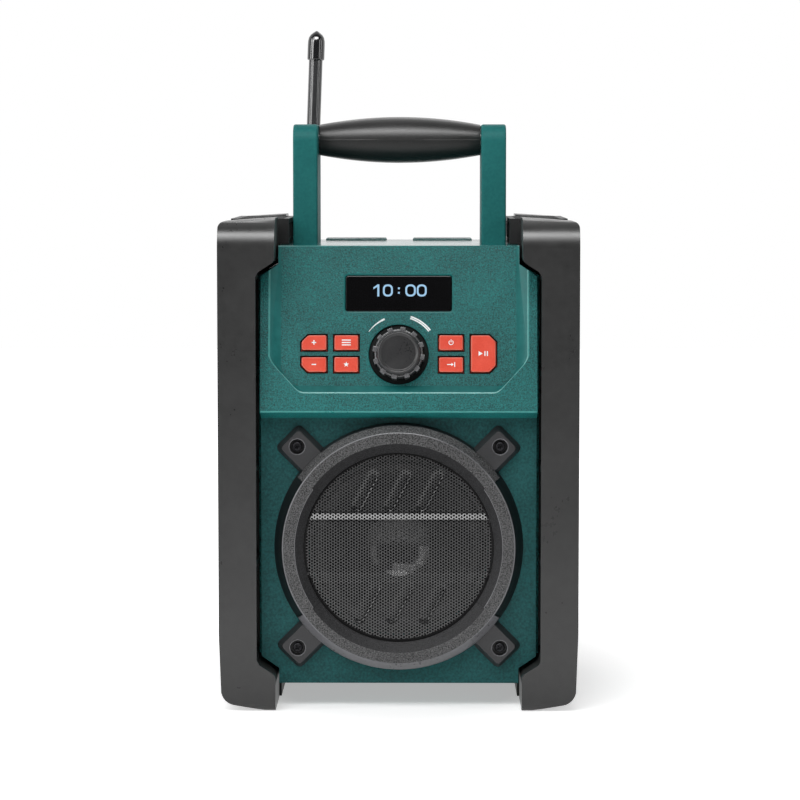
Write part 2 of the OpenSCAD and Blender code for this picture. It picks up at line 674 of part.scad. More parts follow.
module speaker_ring() color("#4a4a4b") on_speaker() difference() {
  draft = 4.7;
  seat = grille_z + grille_t + head_gap;
  root = ring_r - 6;
  lug_end = ring_r + lug_out + lug_past;
  union() {
    rotate_extrude($fn = 96) polygon([
      [grille_r + 2, 0], [ring_r, 0], [ring_r - draft, ring_h], [grille_r + draft, ring_h],
      [grille_r, seat + 0.6], [grille_r, seat], [grille_r + 2, seat]]);
    // Four lugs with drafted sides
    for (a = [45 : 90 : 315]) rotate(a) intersection() {
      translate([root, 0, 0]) rotate([90, 0, 90]) linear_extrude(lug_end - root)
        polygon([[-9.3, 0], [9.3, 0], [7, lug_h], [-7, lug_h]]);
      translate([0, 10, 0]) rotate([90, 0, 0]) linear_extrude(20)
        polygon([[root, 0], [lug_end, 0], [lug_end - 2.1, lug_h], [root, lug_h]]);
    }
  }
  for (p = RING_SCREWS) translate([p[0], p[1], 0]) {
    translate([0, 0, -1]) cylinder(r = ring_screw_size[0] + screw_gap, h = lug_h + 1);
    translate([0, 0, ring_screw_z]) cylinder(r = boss_r, h = ring_h);
  }
}
ring_screw_z = 2.2;
module ring_screws() color("#262627") on_speaker() for (p = RING_SCREWS)
  translate([p[0], p[1], ring_screw_z]) screw(ring_screw_size);
// Dished sheet with a turned-back edge; the rings of holes are pitched 8 mm apart
module speaker_grille() color("#1b1b1c") on_speaker() difference() {
  edge_r = grille_r + 1.9;
  pitch = 8;
  cylinder(r = edge_r, h = grille_z + grille_t, $fn = 96);
  translate([0, 0, -1]) cylinder(r = edge_r - 0.8, h = grille_z + 1, $fn = 96);
  for (r = [pitch : pitch : grille_r - 5]) for (a = [0 : 360 / floor(r * 0.75) : 359]) rotate(a)
    translate([r, 0, grille_z - 1]) cylinder(r = 1.2, h = grille_t + 2, $fn = 6);
}
// Places children on the plane where the basket's flange meets its gasket
module on_flange() {
  on_speaker() translate([0, 0, -wall - gasket_t]) children();
}
module flange_holes() {
  for (p = SPEAKER_SCREWS) translate([p[0], p[1], -5])
    cylinder(r = speaker_screw_size[0] + screw_gap, h = 10);
}
module speaker_gasket() color("#222222") on_flange() difference() {
  cylinder(r = spk_flange_r, h = gasket_t);
  translate([0, 0, -1]) cylinder(r = spk_hole_r, h = gasket_t + 2);
  flange_holes();
}
// Flange, open cone of ribs and a back ring
module speaker_basket() color("#303032") on_flange() difference() {
  b = basket_back_r;
  rotate_extrude() polygon([
    [basket_r, 0], [spk_flange_r, 0], [spk_flange_r, -flange_t], [basket_r + 1.6, -flange_t],
    [b, magnet_z + 6], [b, magnet_z + 3], [14, magnet_z + 3], [14, magnet_z + 4.5],
    [b - 1.4, magnet_z + 4.5], [b - 1.4, magnet_z + 6.6], [basket_r, -flange_t]]);
  for (a = [0 : 60 : 300]) rotate(a) translate([22, -9, magnet_z + 7]) cube([40, 18, 18]);
  flange_holes();
}
module speaker_screws() color("#9a9a9c") on_flange() for (p = SPEAKER_SCREWS)
  translate([p[0], p[1], -flange_t]) rotate([180, 0, 0]) screw(speaker_screw_size);
module speaker_surround() color("#202020") on_flange() rotate_extrude() {
  mid = cone_r + surround_r + 0.2;
  difference() {
    union() {
      translate([mid, 0]) circle(surround_r);
      translate([cone_r, -1]) square([basket_r - cone_r - 0.2, 1]);
    }
    translate([mid, 0]) circle(surround_r - 0.8);
    translate([mid - 2 * surround_r, -surround_r - 1]) square([4 * surround_r, surround_r]);
  }
}
module speaker_cone() color("#18181a") on_flange() rotate_extrude() polygon([
  [cone_r, -0.1], [cone_r - 1.2, -0.1], [coil_r + coil_t, cone_back_z],
  [coil_r + coil_t, cone_back_z - 1.2], [cone_r, -1.2]]);
// Inverted cap: a shallow bowl that faces forwards, its rim glued to the cone
module dust_cap() color("#232325") on_flange() difference() {
  intersection() {
    translate([0, 0, dust_ball_z]) sphere(r = dust_back_r);
    translate([0, 0, dust_ball_z - dust_back_r - 1]) cylinder(r = dust_r, h = dust_back_r);
  }
  translate([0, 0, dust_ball_z]) sphere(r = dust_back_r - dust_t);
}
module voice_coil() color("#b06a3a") on_flange() translate([0, 0, coil_top_z - coil_len]) difference() {
  cylinder(r = coil_r + coil_t, h = coil_len);
  translate([0, 0, -1]) cylinder(r = coil_r, h = coil_len + 2);
}
module spider() color("#c9a45c") on_flange() translate([0, 0, spider_z]) difference() {
  cylinder(r = spider_r, h = 1);
  translate([0, 0, -1]) cylinder(r = coil_r + coil_t + 0.1, h = 3);
}
module magnet() color("#2b2b2d") on_flange() translate([0, 0, magnet_z - magnet_h]) difference() {
  cylinder(r = magnet_r, h = magnet_h);
  translate([0, 0, -1]) cylinder(r = coil_r + 3.3, h = magnet_h + 2);
}
// Front plate, back plate and the pole that stands in the coil
module magnet_plates() color("#8d9093") on_flange() {
  translate([0, 0, magnet_z]) difference() {
    cylinder(r = magnet_r - 1, h = 3);
    translate([0, 0, -1]) cylinder(r = coil_r + coil_t + 0.5, h = 5);
  }
  translate([0, 0, magnet_z - magnet_h - 4]) cylinder(r = magnet_r - 1, h = 4);
  translate([0, 0, magnet_z - magnet_h - 0.1]) cylinder(r = coil_r - 0.5, h = magnet_h + 2.6);
}

// ---------- display and keys ----------

// Window with a flange behind the panel
module display_lens() color("#0c0c0e") on_panel() translate([0, lens_v, panel_back_w]) {
  linear_extrude(wall - 0.3) round_rect(lens_w - 0.4, lens_h - 0.4, 1.2);
  translate([0, 0, -1]) linear_extrude(1) square([lens_w + 5, lens_h + 5], center = true);
}
module display_module() color("#16301c") on_panel() difference() {
  translate([0, lens_v, display_w - display_t]) {
    linear_extrude(display_t) square([lens_w + 17, lens_h + 4.8], center = true);
    linear_extrude(panel_back_w - 1.1 - display_w + display_t)
      square([lens_w - 1, lens_h + 0.8], center = true);
  }
  for (p = DISPLAY_POSTS) translate([p[0], p[1], display_w - 3])
    cylinder(r = display_screw_size[0] + screw_gap, h = 5);
}
// A key: cap above the panel, body in its opening, flange behind it and a stem to its switch
module key(k) color("#e04a36") on_panel() {
  flange_w = panel_back_w - sit_gap - key_flange_t;
  stem_w = board_w + plunger_h + key_travel + sit_gap;
  translate([0, 0, panel_back_w - 0.4]) linear_extrude(wall + 0.4 + key_cap_h) key_shape(k, key_gap);
  translate([k[0], k[1], flange_w]) linear_extrude(key_flange_t)
    square([k[2] + 1.2, k[3] + 1.2], center = true);
  translate([k[0], k[1], stem_w]) cylinder(r = plunger_r, h = flange_w - stem_w + 0.1);
}
module key_tune_up() key(KEYS[0]);
module key_tune_down() key(KEYS[1]);
module key_menu() key(KEYS[2]);
module key_preset() key(KEYS[3]);
module key_power() key(KEYS[4]);
module key_source() key(KEYS[5]);
module key_play() key(KEYS[6]);
module tact_switches() color("#d8d8d4") on_panel() for (k = KEYS) translate([k[0], k[1], board_w]) {
  linear_extrude(switch_h) square([6, 6], center = true);
  cylinder(r = plunger_r, h = plunger_h);
}
module control_board() color("#1d5c2c") on_panel() difference() {
  translate([-board_half, 11, board_w - board_t]) cube([2 * board_half, 41, board_t]);
  for (p = PANEL_POSTS) translate([p[0], p[1], board_w - 3])
    cylinder(r = board_screw_size[0] + screw_gap, h = 5);
}
module board_screws() color("#b8b8ba") {
  on_panel() {
    for (p = PANEL_POSTS) translate([p[0], p[1], board_w - board_t]) rotate([180, 0, 0])
      screw(board_screw_size);
    for (p = DISPLAY_POSTS) translate([p[0], p[1], display_w - display_t]) rotate([180, 0, 0])
      screw(display_screw_size);
  }
  for (p = BOARD_POSTS) translate([p[0], main_board_y - board_t, p[1]]) rotate([90, 0, 0])
    screw(board_screw_size);
}

// ---------- volume knob and encoder ----------

bush_r = shaft_dia / 2 + 1.5;
nut_r = bush_r + 3.1;
nut_h = 2;
dish_w = -bay_depth - 1.2;
knob_w = -bay_depth - 0.8;
shaft_w = board_w + 0.5;
module volume_knob() color("#29292a") on_panel() translate([0, knob_v, knob_w]) difference() {
  ribs = 12;
  rib_w = 2.9;
  first_rib = 20;
  top = knob_h - bay_depth - knob_w;
  r = knob_dia / 2;
  union() {
    cylinder(r = r - 0.9, h = top - 2.2);
    for (i = [0 : ribs - 1]) rotate(first_rib + i * 360 / ribs) translate([0, -rib_w / 2, 0])
      cube([r, rib_w, top - 1.6]);
    cylinder(r = r - 2.4, h = top);
  }
  // Room for the nut, the shaft's hole and the dished face
  translate([0, 0, -1]) cylinder(r = nut_r + 1, h = nut_h + 3);
  translate([0, 0, -1]) cylinder(r = shaft_dia / 2, h = top - 1);
  translate([0, 0, top - 0.5]) cylinder(r = r - 3.8, h = 1);
}
module encoder_shaft() color("#a8abae") on_panel() translate([0, knob_v, shaft_w])
  cylinder(r = shaft_dia / 2, h = knob_h - bay_depth - 2 - shaft_w);
module encoder_body() color("#7b7e80") on_panel() translate([0, knob_v, board_w]) difference() {
  union() {
    translate([-6.5, -6.5, 0]) cube([13, 13, panel_back_w - board_w - sit_gap]);
    cylinder(r = bush_r, h = dish_w + nut_h + 0.6 - board_w);
  }
  translate([0, 0, shaft_w - board_w - sit_gap]) cylinder(r = shaft_dia / 2 + run_gap, h = -board_w);
}
module encoder_nut() color("#b9bcbe") on_panel() translate([0, knob_v, dish_w]) difference() {
  cylinder(r = nut_r, h = nut_h, $fn = 6);
  translate([0, 0, -1]) cylinder(r = bush_r + screw_gap, h = nut_h + 2);
}

// ---------- electronics and sockets ----------

part_y = main_board_y - board_t;
module main_board() color("#1d5c2c") difference() {
  box([-board_half, part_y, board_z0], [board_half, main_board_y, board_z1]);
  for (p = BOARD_POSTS) rod_y(p[0], p[1], board_screw_size[0] + screw_gap, part_y - 1, main_board_y + 1);
}
module tuner_shield() color("#b4b7b9") box([-44, part_y - 6, board_z1 - 38], [-14, part_y, board_z1 - 12]);
module heat_sink() color("#9fa2a5") {
  x0 = 6;
  z0 = board_z0 + 14;
  z1 = z0 + 26;
  box([x0, part_y - 3, z0], [x0 + 44, part_y, z1]);
  for (i = [0 : 6]) box([x0 + i * 7, part_y - 13, z0], [x0 + i * 7 + 2, part_y - 2.9, z1]);
}
// Each: [x, height above the board's lower edge, radius]
CAPACITORS = [[-40, 20, 8], [-22, 20, 8], [-34, 46, 5], [-18, 46, 5]];
module capacitors() color("#26304a") for (c = CAPACITORS)
  rod_y(c[0], board_z0 + c[1], c[2], part_y - 2.4 * c[2], part_y);
// A socket: block on the board, nose in the rear wall and a blind hole of radius r
module socket(x, half_h, nose_r, r, depth) {
  difference() {
    union() {
      box([x - 6, main_board_y, port_z - half_h], [x + 6, port_floor_y - wall - sit_gap, port_z + half_h]);
      rod_y(x, port_z, nose_r, port_floor_y - wall - 1, port_floor_y);
    }
    rod_y(x, port_z, r, port_floor_y - depth, port_floor_y + 1);
  }
}
module audio_socket() color("#3a3a3c") socket(aux_x, 5, aux_nose_r, aux_dia / 2, 14);
module dc_inlet() color("#1e1e20") {
  depth = 10;
  socket(dc_x, 6, dc_nose_r, dc_dia / 2, depth);
  rod_y(dc_x, port_z, dc_pin_r, port_floor_y - depth - 0.1, port_floor_y - 1);
}
// Rubber flap over the sockets, hinged along its lower edge
module port_cover() color("#2e2e30") {
  x0 = port_x - port_w / 2;
  x1 = port_x + port_w / 2;
  bead_r = 1.3;
  box([x0, port_floor_y + sit_gap, port_hinge_z + 1.2], [x1, y_rear + 0.2, port_z + port_h / 2]);
  rod_x(port_hinge_y, port_hinge_z, bead_r, x0, x1);
  box([x0, port_floor_y + sit_gap, port_hinge_z], [x1, port_hinge_y + 0.2, port_hinge_z + bead_r]);
}

// ---------- battery bay ----------

module battery_door() color("#1e625c") difference() {
  union() {
    box([-bay_half_w - door_lap, y_rear - door_t, bay_z0 - 1.6],
        [bay_half_w + door_lap, y_rear, bay_z1 + door_lap]);
    // Knuckles on short arms, with pins into the rear shell's ears
    for (s = [0, 1]) mirror([s, 0, 0]) {
      x0 = knuckle_x - knuckle_half;
      x1 = knuckle_x + knuckle_half;
      rod_x(door_hinge_y, door_hinge_z, hinge_knuckle_r, x0, x1);
      box([x0, y_rear + sit_gap, door_hinge_z], [x1, door_hinge_y, bay_z0 + 3]);
      box([x0, y_rear - 0.5, bay_z0 - 1], [x1, door_hinge_y - 0.5, bay_z0 + 3]);
      rod_x(door_hinge_y, door_hinge_z, hinge_pin_r, knuckle_x, ear_x + ear_half - 1);
    }
  }
  // Grip groove along the top
  box([-16, y_rear - 1.2, bay_z1 - 4], [16, y_rear + 1, bay_z1 + 1]);
}
function cell_z(i) = bay_z0 + cell_gap + cell_dia / 2 + i * (cell_dia + cell_gap);
cell_y = bay_floor_y + cell_gap + cell_dia / 2;
cell_end = cell_gap / 2 + 0.1 + cell_len;
// Plates at both ends of the bay, each with a plain drum for its spring
module battery_contacts() color("#c4c7c9") for (s = [0, 1], i = [0 : bay_cols - 1]) mirror([s, 0, 0]) {
  box([bay_half_w - contact_t, cell_y - contact_half, cell_z(i) - contact_half],
      [bay_half_w, cell_y + contact_half, cell_z(i) + contact_half]);
  rod_x(cell_y, cell_z(i), contact_half - 2, cell_end + 0.1, bay_half_w - contact_t + 0.1);
}
module battery_cells() color("#7c8288") for (i = [0 : bay_cols - 1], s = [0, 1]) mirror([s, 0, 0])
  rod_x(cell_y, cell_z(i), cell_dia / 2, cell_end - cell_len, cell_end);

// ---------- antenna ----------

// Yoke with two ears; the rod's knuckle turns between them
module antenna_base() color("#2d2d2f") difference() {
  half = knuckle_w / 2 + sit_gap + yoke_ear;
  union() {
    box([-antenna_x - half, antenna_y - yoke_r, antenna_z - yoke_drop],
        [-antenna_x + half, antenna_y + yoke_r, antenna_z - yoke_drop + 1.2]);
    for (s = [-1, 1]) translate([-antenna_x + s * (half - yoke_ear / 2), 0, 0]) {
      box([-yoke_ear / 2, antenna_y - yoke_r, antenna_z - yoke_drop + 1],
          [yoke_ear / 2, antenna_y + yoke_r, antenna_z]);
      rod_x(antenna_y, antenna_z, yoke_r, -yoke_ear / 2, yoke_ear / 2);
    }
  }
  rod_x(antenna_y, antenna_z, antenna_pin_r, -antenna_x - half - 1, -antenna_x + half + 1);
}
module antenna_pin() color("#b0b3b5") {
  half = knuckle_w / 2 + sit_gap + yoke_ear;
  rod_x(antenna_y, antenna_z, antenna_pin_r, -antenna_x - half, -antenna_x + half);
}
// Places children on the rod's axis, the hinge at the origin
module on_antenna() {
  translate([-antenna_x, antenna_y, antenna_z]) rotate([0, antenna_lean, 0]) children();
}
module antenna_rod() color("#2a2a2b") difference() {
  union() {
    rod_x(antenna_y, antenna_z, yoke_r - sit_gap, -antenna_x - knuckle_w / 2, -antenna_x + knuckle_w / 2);
    on_antenna() {
      rod_z0 = yoke_r + 1.5;
      translate([0, 0, 2]) cylinder(r = knuckle_w / 2 - sit_gap, h = 8);
      translate([0, 0, rod_z0]) cylinder(r = antenna_dia / 2, h = antenna_len - cap_len + cap_lap - rod_z0);
    }
  }
  rod_x(antenna_y, antenna_z, antenna_pin_r + run_gap, -antenna_x - knuckle_w, -antenna_x + knuckle_w);
}
module antenna_cap() color("#161617") on_antenna() translate([0, 0, antenna_len - cap_len]) difference() {
  tip_h = 4;
  union() {
    cylinder(r = antenna_cap_dia / 2, h = cap_len - tip_h);
    translate([0, 0, cap_len - tip_h]) cylinder(r1 = antenna_cap_dia / 2, r2 = 2, h = tip_h);
  }
  translate([0, 0, -1]) cylinder(r = antenna_dia / 2 + screw_gap, h = cap_lap + 1.1);
}

front_housing();
rear_housing();
housing_seal();
case_screws();
front_bumper_left();
front_bumper_right();
rear_bumper_left();
rear_bumper_right();
side_frame_left();
side_frame_right();
bumper_screws();
handle_arm_left();
handle_arm_right();
handle_bar();
handle_grip();
handle_screws();
speaker_ring();
speaker_grille();
ring_screws();
speaker_gasket();
speaker_basket();
speaker_surround();
speaker_cone();
dust_cap();
voice_coil();
spider();
magnet();
magnet_plates();
speaker_screws();
display_lens();
display_module();
key_tune_up();
key_tune_down();
key_menu();
key_preset();
key_power();
key_source();
key_play();
tact_switches();
control_board();
board_screws();
volume_knob();
encoder_body();
encoder_shaft();
encoder_nut();
main_board();
tuner_shield();
heat_sink();
capacitors();
audio_socket();
dc_inlet();
port_cover();
battery_door();
battery_contacts();
battery_cells();
antenna_base();
antenna_pin();
antenna_rod();
antenna_cap();
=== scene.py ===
"""Jobsite radio: the looks of each piece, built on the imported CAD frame. Lengths are in metres."""
import json
import math

import bmesh
import bpy
from mathutils import Matrix, Vector

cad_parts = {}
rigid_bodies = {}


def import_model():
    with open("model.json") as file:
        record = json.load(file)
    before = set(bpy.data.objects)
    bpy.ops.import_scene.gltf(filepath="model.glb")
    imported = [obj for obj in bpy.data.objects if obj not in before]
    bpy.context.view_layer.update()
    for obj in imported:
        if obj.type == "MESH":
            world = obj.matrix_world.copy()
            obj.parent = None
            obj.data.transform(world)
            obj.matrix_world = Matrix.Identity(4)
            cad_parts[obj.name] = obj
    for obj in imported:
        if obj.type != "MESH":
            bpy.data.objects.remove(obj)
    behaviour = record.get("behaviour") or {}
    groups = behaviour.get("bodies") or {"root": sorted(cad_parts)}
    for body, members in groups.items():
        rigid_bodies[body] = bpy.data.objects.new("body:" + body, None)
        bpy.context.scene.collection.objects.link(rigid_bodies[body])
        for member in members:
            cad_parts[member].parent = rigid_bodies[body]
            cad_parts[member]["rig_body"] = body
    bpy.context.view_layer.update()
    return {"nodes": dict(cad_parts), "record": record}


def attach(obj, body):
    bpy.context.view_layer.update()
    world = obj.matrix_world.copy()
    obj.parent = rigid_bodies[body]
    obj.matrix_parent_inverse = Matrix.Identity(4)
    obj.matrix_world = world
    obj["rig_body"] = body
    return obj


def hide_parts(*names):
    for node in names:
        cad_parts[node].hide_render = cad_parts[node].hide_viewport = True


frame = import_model()
MM = 0.001
SCALE = Matrix.Scale(MM, 4)
NODE_BODY = {n: o["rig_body"] for n, o in frame["nodes"].items()}
NODE_SLOT = {s["node"]: s["material_slot"] for s in frame["record"]["subparts"]}

# Faces of the CAD housing, in mm: the lip's front edge, the speaker baffle, the back, the top and the base
LIP_Y, LIP_Z = -87, 160.7
BAFFLE_Y, BACK_Y = -76, 62
TOP_Z, BASE_Z = 249, 13
# The control panel's frame: origin on the lip's front edge, x right, y up the panel, z outwards
LEAN = math.radians(10)
PANEL = Matrix.Translation((0, LIP_Y * MM, LIP_Z * MM)) @ Matrix.Rotation(math.pi / 2 - LEAN, 4, "X")
# Heights out of the panel: the bay's floor and the keys' caps
BAY_W, CAP_W = -3.0, -1.4
# Places up the panel: the knob and the display's middle
KNOB_V, DISPLAY_V = 31.4, 64.35
# The speaker's frame: +Z forwards from the baffle
SPEAKER_Z = 87.3
SPEAKER = Matrix.Translation((0, BAFFLE_Y * MM, SPEAKER_Z * MM)) @ Matrix.Rotation(math.pi / 2, 4, "X")


# ---------- materials ----------

def colour(code):
    """An sRGB hex colour as linear RGBA."""
    c = [int(code[i:i + 2], 16) / 255 for i in (1, 3, 5)]
    return tuple(v / 12.92 if v <= 0.04045 else ((v + 0.055) / 1.055) ** 2.4 for v in c) + (1.0,)


def node(tree, kind, inputs=None, **settings):
    """Adds a node with its settings. An input is a value, another node's output, or another node, which
    stands for its first output."""
    n = tree.nodes.new(kind)
    for key, value in settings.items():
        setattr(n, key, value)
    for key, value in (inputs or {}).items():
        if isinstance(value, bpy.types.Node):
            value = value.outputs[0]
        if isinstance(value, bpy.types.NodeSocket):
            tree.links.new(value, n.inputs[key])
        else:
            n.inputs[key].default_value = value
    return n


def material(name):
    m = bpy.data.materials.new(name)
    m.use_nodes = True
    m.node_tree.nodes.clear()
    return m, m.node_tree


# Noise mostly lies between these values, which become the two tones of a surface
NOISE_LOW, NOISE_HIGH = 0.34, 0.66


def surface(name, tones, rough, grain=(), blotch=20, speck=0.9, drifting=0.5, metallic=0.0, shine=0.5,
            stretch=None, **sockets):
    """A surface of two tones that drift over `blotch` mm and speckle over `speck` mm, where `drifting` is
    the drift's share. The roughness goes with them. Grains are (size, height) in mm, of noise or "cells"."""
    m, t = material(name)
    place = node(t, "ShaderNodeTexCoord").outputs["Object"]
    if stretch:
        place = node(t, "ShaderNodeMapping", {"Vector": place, "Scale": stretch})
    drift = node(t, "ShaderNodeTexNoise", {"Vector": place, "Scale": 1 / (blotch * MM), "Detail": 4.0})
    fine = node(t, "ShaderNodeTexNoise", {"Vector": place, "Scale": 1 / (speck * MM), "Detail": 2.0})
    both = node(t, "ShaderNodeMix", {0: drifting, 2: fine, 3: drift})
    spread = {0: both, 1: NOISE_LOW, 2: NOISE_HIGH}
    base = node(t, "ShaderNodeMapRange", spread)
    mix = node(t, "ShaderNodeMix", {0: base, 6: colour(tones[0]), 7: colour(tones[1])}, data_type="RGBA")
    dull = node(t, "ShaderNodeMapRange", {**spread, 3: rough[0], 4: rough[1]})
    inputs = {"Base Color": mix.outputs[2], "Roughness": dull, "Metallic": metallic,
              "Specular IOR Level": shine, **sockets}
    for size, height, *cells in grain:
        fit = {"Vector": place, "Scale": 1 / (size * MM)}
        if cells:
            tex = node(t, "ShaderNodeTexVoronoi", fit, feature="SMOOTH_F1").outputs["Distance"]
        else:
            tex = node(t, "ShaderNodeTexNoise", {**fit, "Detail": 3.0, "Roughness": 0.6})
        bump = {"Height": tex, "Distance": height * MM, "Strength": 1.0}
        if "Normal" in inputs:
            bump["Normal"] = inputs["Normal"]
        inputs["Normal"] = node(t, "ShaderNodeBump", bump)
    bsdf = node(t, "ShaderNodeBsdfPrincipled", inputs)
    node(t, "ShaderNodeOutputMaterial", {"Surface": bsdf})
    return m


# Green ABS from a spark-eroded mould: an even pebble that breaks the light into specks.
# The real grain is about 0.3 mm and is drawn at 0.5 to 0.8 mm, so that it shows
ABS_ERODED = surface(
    "abs_green_spark_eroded", ("#053D3C", "#1A7674"), (0.5, 0.66), [(0.8, 0.2, "cells"), (0.5, 0.1)],
    blotch=24, speck=0.7, drifting=0.2, shine=0.25, IOR=1.54)
# The same ABS where the mould is polished: smooth, with a soft gloss
ABS_SMOOTH = surface(
    "abs_green_polished", ("#115D5B", "#186967"), (0.34, 0.44), [(3.0, 0.02)], speck=3, shine=0.2, IOR=1.54)
# The housing's flat top, glossier still: at a low angle it mirrors the studio's white
ABS_TOP = surface("abs_green_gloss", ("#1B6664", "#237270"), (0.12, 0.18), [(5.0, 0.01)], speck=3, IOR=1.54)
# Its crests: a thin paler line with a soft gloss, a painted highlight where the rounded edges catch the light
ABS_PAINTED_HIGHLIGHT = surface(
    "abs_green_painted_highlight", ("#368682", "#4A9793"), (0.26, 0.36), [(2.0, 0.02)], speck=2, IOR=1.54)
# Baffle round the speaker: the mould's fine satin finish, nearly without grain and deeper in tone; the deeper
# tone is painted shade under the lip and between the bumpers
ABS_BAFFLE = surface(
    "abs_green_fine_satin_painted_shade", ("#0C3A3B", "#1A5555"), (0.5, 0.62), [(0.9, 0.06)], blotch=30, speck=1.2,
    drifting=0.3, shine=0.2, IOR=1.54)
# The sunk well round the knob and the gaps round the keys: the same plastic, dull and near black, painted
# shade in these recesses
ABS_PAINTED_SHADE = surface("abs_green_painted_shade", ("#030707", "#060D0D"), (0.6, 0.75), [(1.0, 0.05)], shine=0.15, IOR=1.54)
# Handle arms: fine satin texture
ABS_SATIN = surface(
    "abs_green_satin", ("#1A6564", "#227270"), (0.5, 0.6), [(0.8, 0.04)], speck=1.5, shine=0.1, IOR=1.54)
# Black TPE bumper from a satin tool: broad soft highlights, faint flow marks
TPE_BLACK = surface(
    "tpe_black_satin", ("#2B2B2B", "#313131"), (0.27, 0.33), [(1.2, 0.01)], blotch=30, speck=4, shine=0.5,
    IOR=1.5)
# Glass-filled nylon frame: matt, faintly mottled where the fibres reach the surface
NYLON_BLACK = surface(
    "nylon_black_glass_filled", ("#131314", "#1C1C1D"), (0.4, 0.54), [(1.1, 0.05)], shine=0.35, IOR=1.53)
# Speaker ring's face: grey ABS with a fine spark-eroded grain, drawn as coarse as the green one
ABS_GREY = surface(
    "abs_grey_spark_eroded", ("#0C0C0D", "#5A5A5B"), (0.44, 0.58), [(0.7, 0.24, "cells"), (0.45, 0.12)],
    speck=0.7, drifting=0.1, shine=0.3, IOR=1.54)
# Its inner bevel: grained like the face, but deeper in tone, painted shade where it turns down towards the
# grille
ABS_GREY_BEVEL = surface(
    "abs_grey_grained_painted_shade", ("#0E0E0F", "#29292B"), (0.5, 0.62), [(0.7, 0.2, "cells")], speck=0.7,
    drifting=0.1, shine=0.2, IOR=1.54)
# Its lugs: the same grey with a fine soft grain
ABS_GREY_LUG = surface("abs_grey_fine", ("#202022", "#29292B"), (0.36, 0.48), [(0.7, 0.06)], IOR=1.54)
# Its flanks: the same plastic, polished, drafted and darker; the darker tone is painted shade on these steep
# sides
ABS_GREY_SMOOTH = surface(
    "abs_grey_polished_painted_shade", ("#121213", "#18181A"), (0.34, 0.44), [(2.0, 0.02)], speck=2, shine=0.3, IOR=1.54)
# Its crests and lower chamfer: paler, with a soft gloss, a painted highlight where they catch the light
ABS_GREY_PAINTED_HIGHLIGHT = surface(
    "abs_grey_painted_highlight", ("#565658", "#66666A"), (0.26, 0.36), [(1.5, 0.02)], speck=1.5, IOR=1.54)
# Overmoulded rubber grip: matt, with a soft sheen at grazing angles
RUBBER_MATT = surface(
    "rubber_black_overmoulded", ("#1E1E1E", "#272727"), (0.3, 0.4), [(0.9, 0.03)], shine=0.42, IOR=1.52)
# Antenna's rubber sleeve: dip-coated, rather glossy
RUBBER_SLEEVE = surface(
    "rubber_black_dip_coated", ("#353536", "#404042"), (0.12, 0.18), [(6.0, 0.01)], shine=0.9, IOR=1.52)
# Antenna's cap: gloss moulded ABS, with a sharp streak of light
ABS_GLOSS = surface(
    "abs_black_gloss", ("#141416", "#1C1C1F"), (0.06, 0.1), [(8.0, 0.005)], shine=1.0, IOR=1.54)
# Display window: polished tinted acrylic, with a few wipe marks
ACRYLIC = surface("acrylic_tinted_polished", ("#040405", "#070709"), (0.06, 0.12), [(9.0, 0.004)], IOR=1.49)
# Keys: moulded silicone with a satin coat, slightly uneven
SILICONE_RED = surface(
    "silicone_red_satin", ("#DC4630", "#E6523B"), (0.36, 0.46), [(0.7, 0.02)], blotch=6, IOR=1.43)
# Their rims: paler, a painted highlight over the rounding
SILICONE_PAINTED_HIGHLIGHT = surface(
    "silicone_red_painted_highlight", ("#D95F4C", "#E27361"), (0.3, 0.4), [(0.7, 0.02)], blotch=6, IOR=1.43)
# Knob: black ABS, satin
ABS_KNOB = surface(
    "abs_black_satin", ("#282829", "#303031"), (0.26, 0.36), [(0.6, 0.02)], blotch=8, shine=0.35, IOR=1.54)
# Its rib tops and the line between them: paler, a painted highlight
ABS_KNOB_PAINTED_HIGHLIGHT = surface(
    "abs_black_painted_highlight", ("#58585A", "#6A6A6C"), (0.22, 0.32), [(0.6, 0.02)], blotch=8, IOR=1.54)
# Grille: pressed steel under a thin black powder coat, whose skin has a slight orange peel
STEEL_POWDER = surface(
    "steel_black_powder_coated", ("#1D1D1F", "#282829"), (0.2, 0.28), [(0.8, 0.02)], blotch=12, shine=1.0,
    IOR=1.5)
# The grille's hemmed rim: dull and near black, painted shade under the ring's edge
STEEL_RIM_PAINTED_SHADE = surface("steel_black_painted_shade", ("#050506", "#0A0A0B"), (0.6, 0.7), [(0.8, 0.02)], shine=0.2)
# Screws: black oxide, dark with an oily gloss, rubbed lighter in places
STEEL_OXIDE = surface(
    "steel_black_oxide", ("#1C1C1E", "#2C2C2F"), (0.28, 0.46), [(0.6, 0.02)], blotch=3, metallic=0.8)
# Zinc-plated steel: bright, with a fine drawn grain
STEEL_PLATED = surface(
    "steel_zinc_plated", ("#A9ACAF", "#BFC2C4"), (0.26, 0.4), [(0.5, 0.01)], blotch=6, metallic=1.0,
    stretch=(0.1, 1, 1))
# Seals and surround: soft die-cut rubber, dull
RUBBER_SEAL = surface("rubber_black_die_cut", ("#171717", "#202020"), (0.5, 0.65), [(0.6, 0.05)])
# Cone: pressed paper pulp with a coat; the fibres show as a fine cloudy grain
PAPER_CONE = surface(
    "paper_pulp_coated", ("#070708", "#0D0D0E"), (0.5, 0.62), [(0.5, 0.04), (3.0, 0.05)], blotch=5, shine=0.3)
# Dust cap: doped cloth under a glossy lacquer, which throws one small bright highlight
DOPED_CLOTH = surface(
    "cloth_doped_glossy", ("#070708", "#0C0C0E"), (0.06, 0.1), [(4.0, 0.01)], blotch=5, shine=1.0, IOR=1.54)
# Voice coil: enamelled copper wire, whose close turns draw fine lines round it
COPPER_WIRE = surface(
    "copper_enamelled_winding", ("#A4572A", "#C07038"), (0.25, 0.4), [(0.4, 0.05)], metallic=0.9,
    stretch=(1, 6, 1))
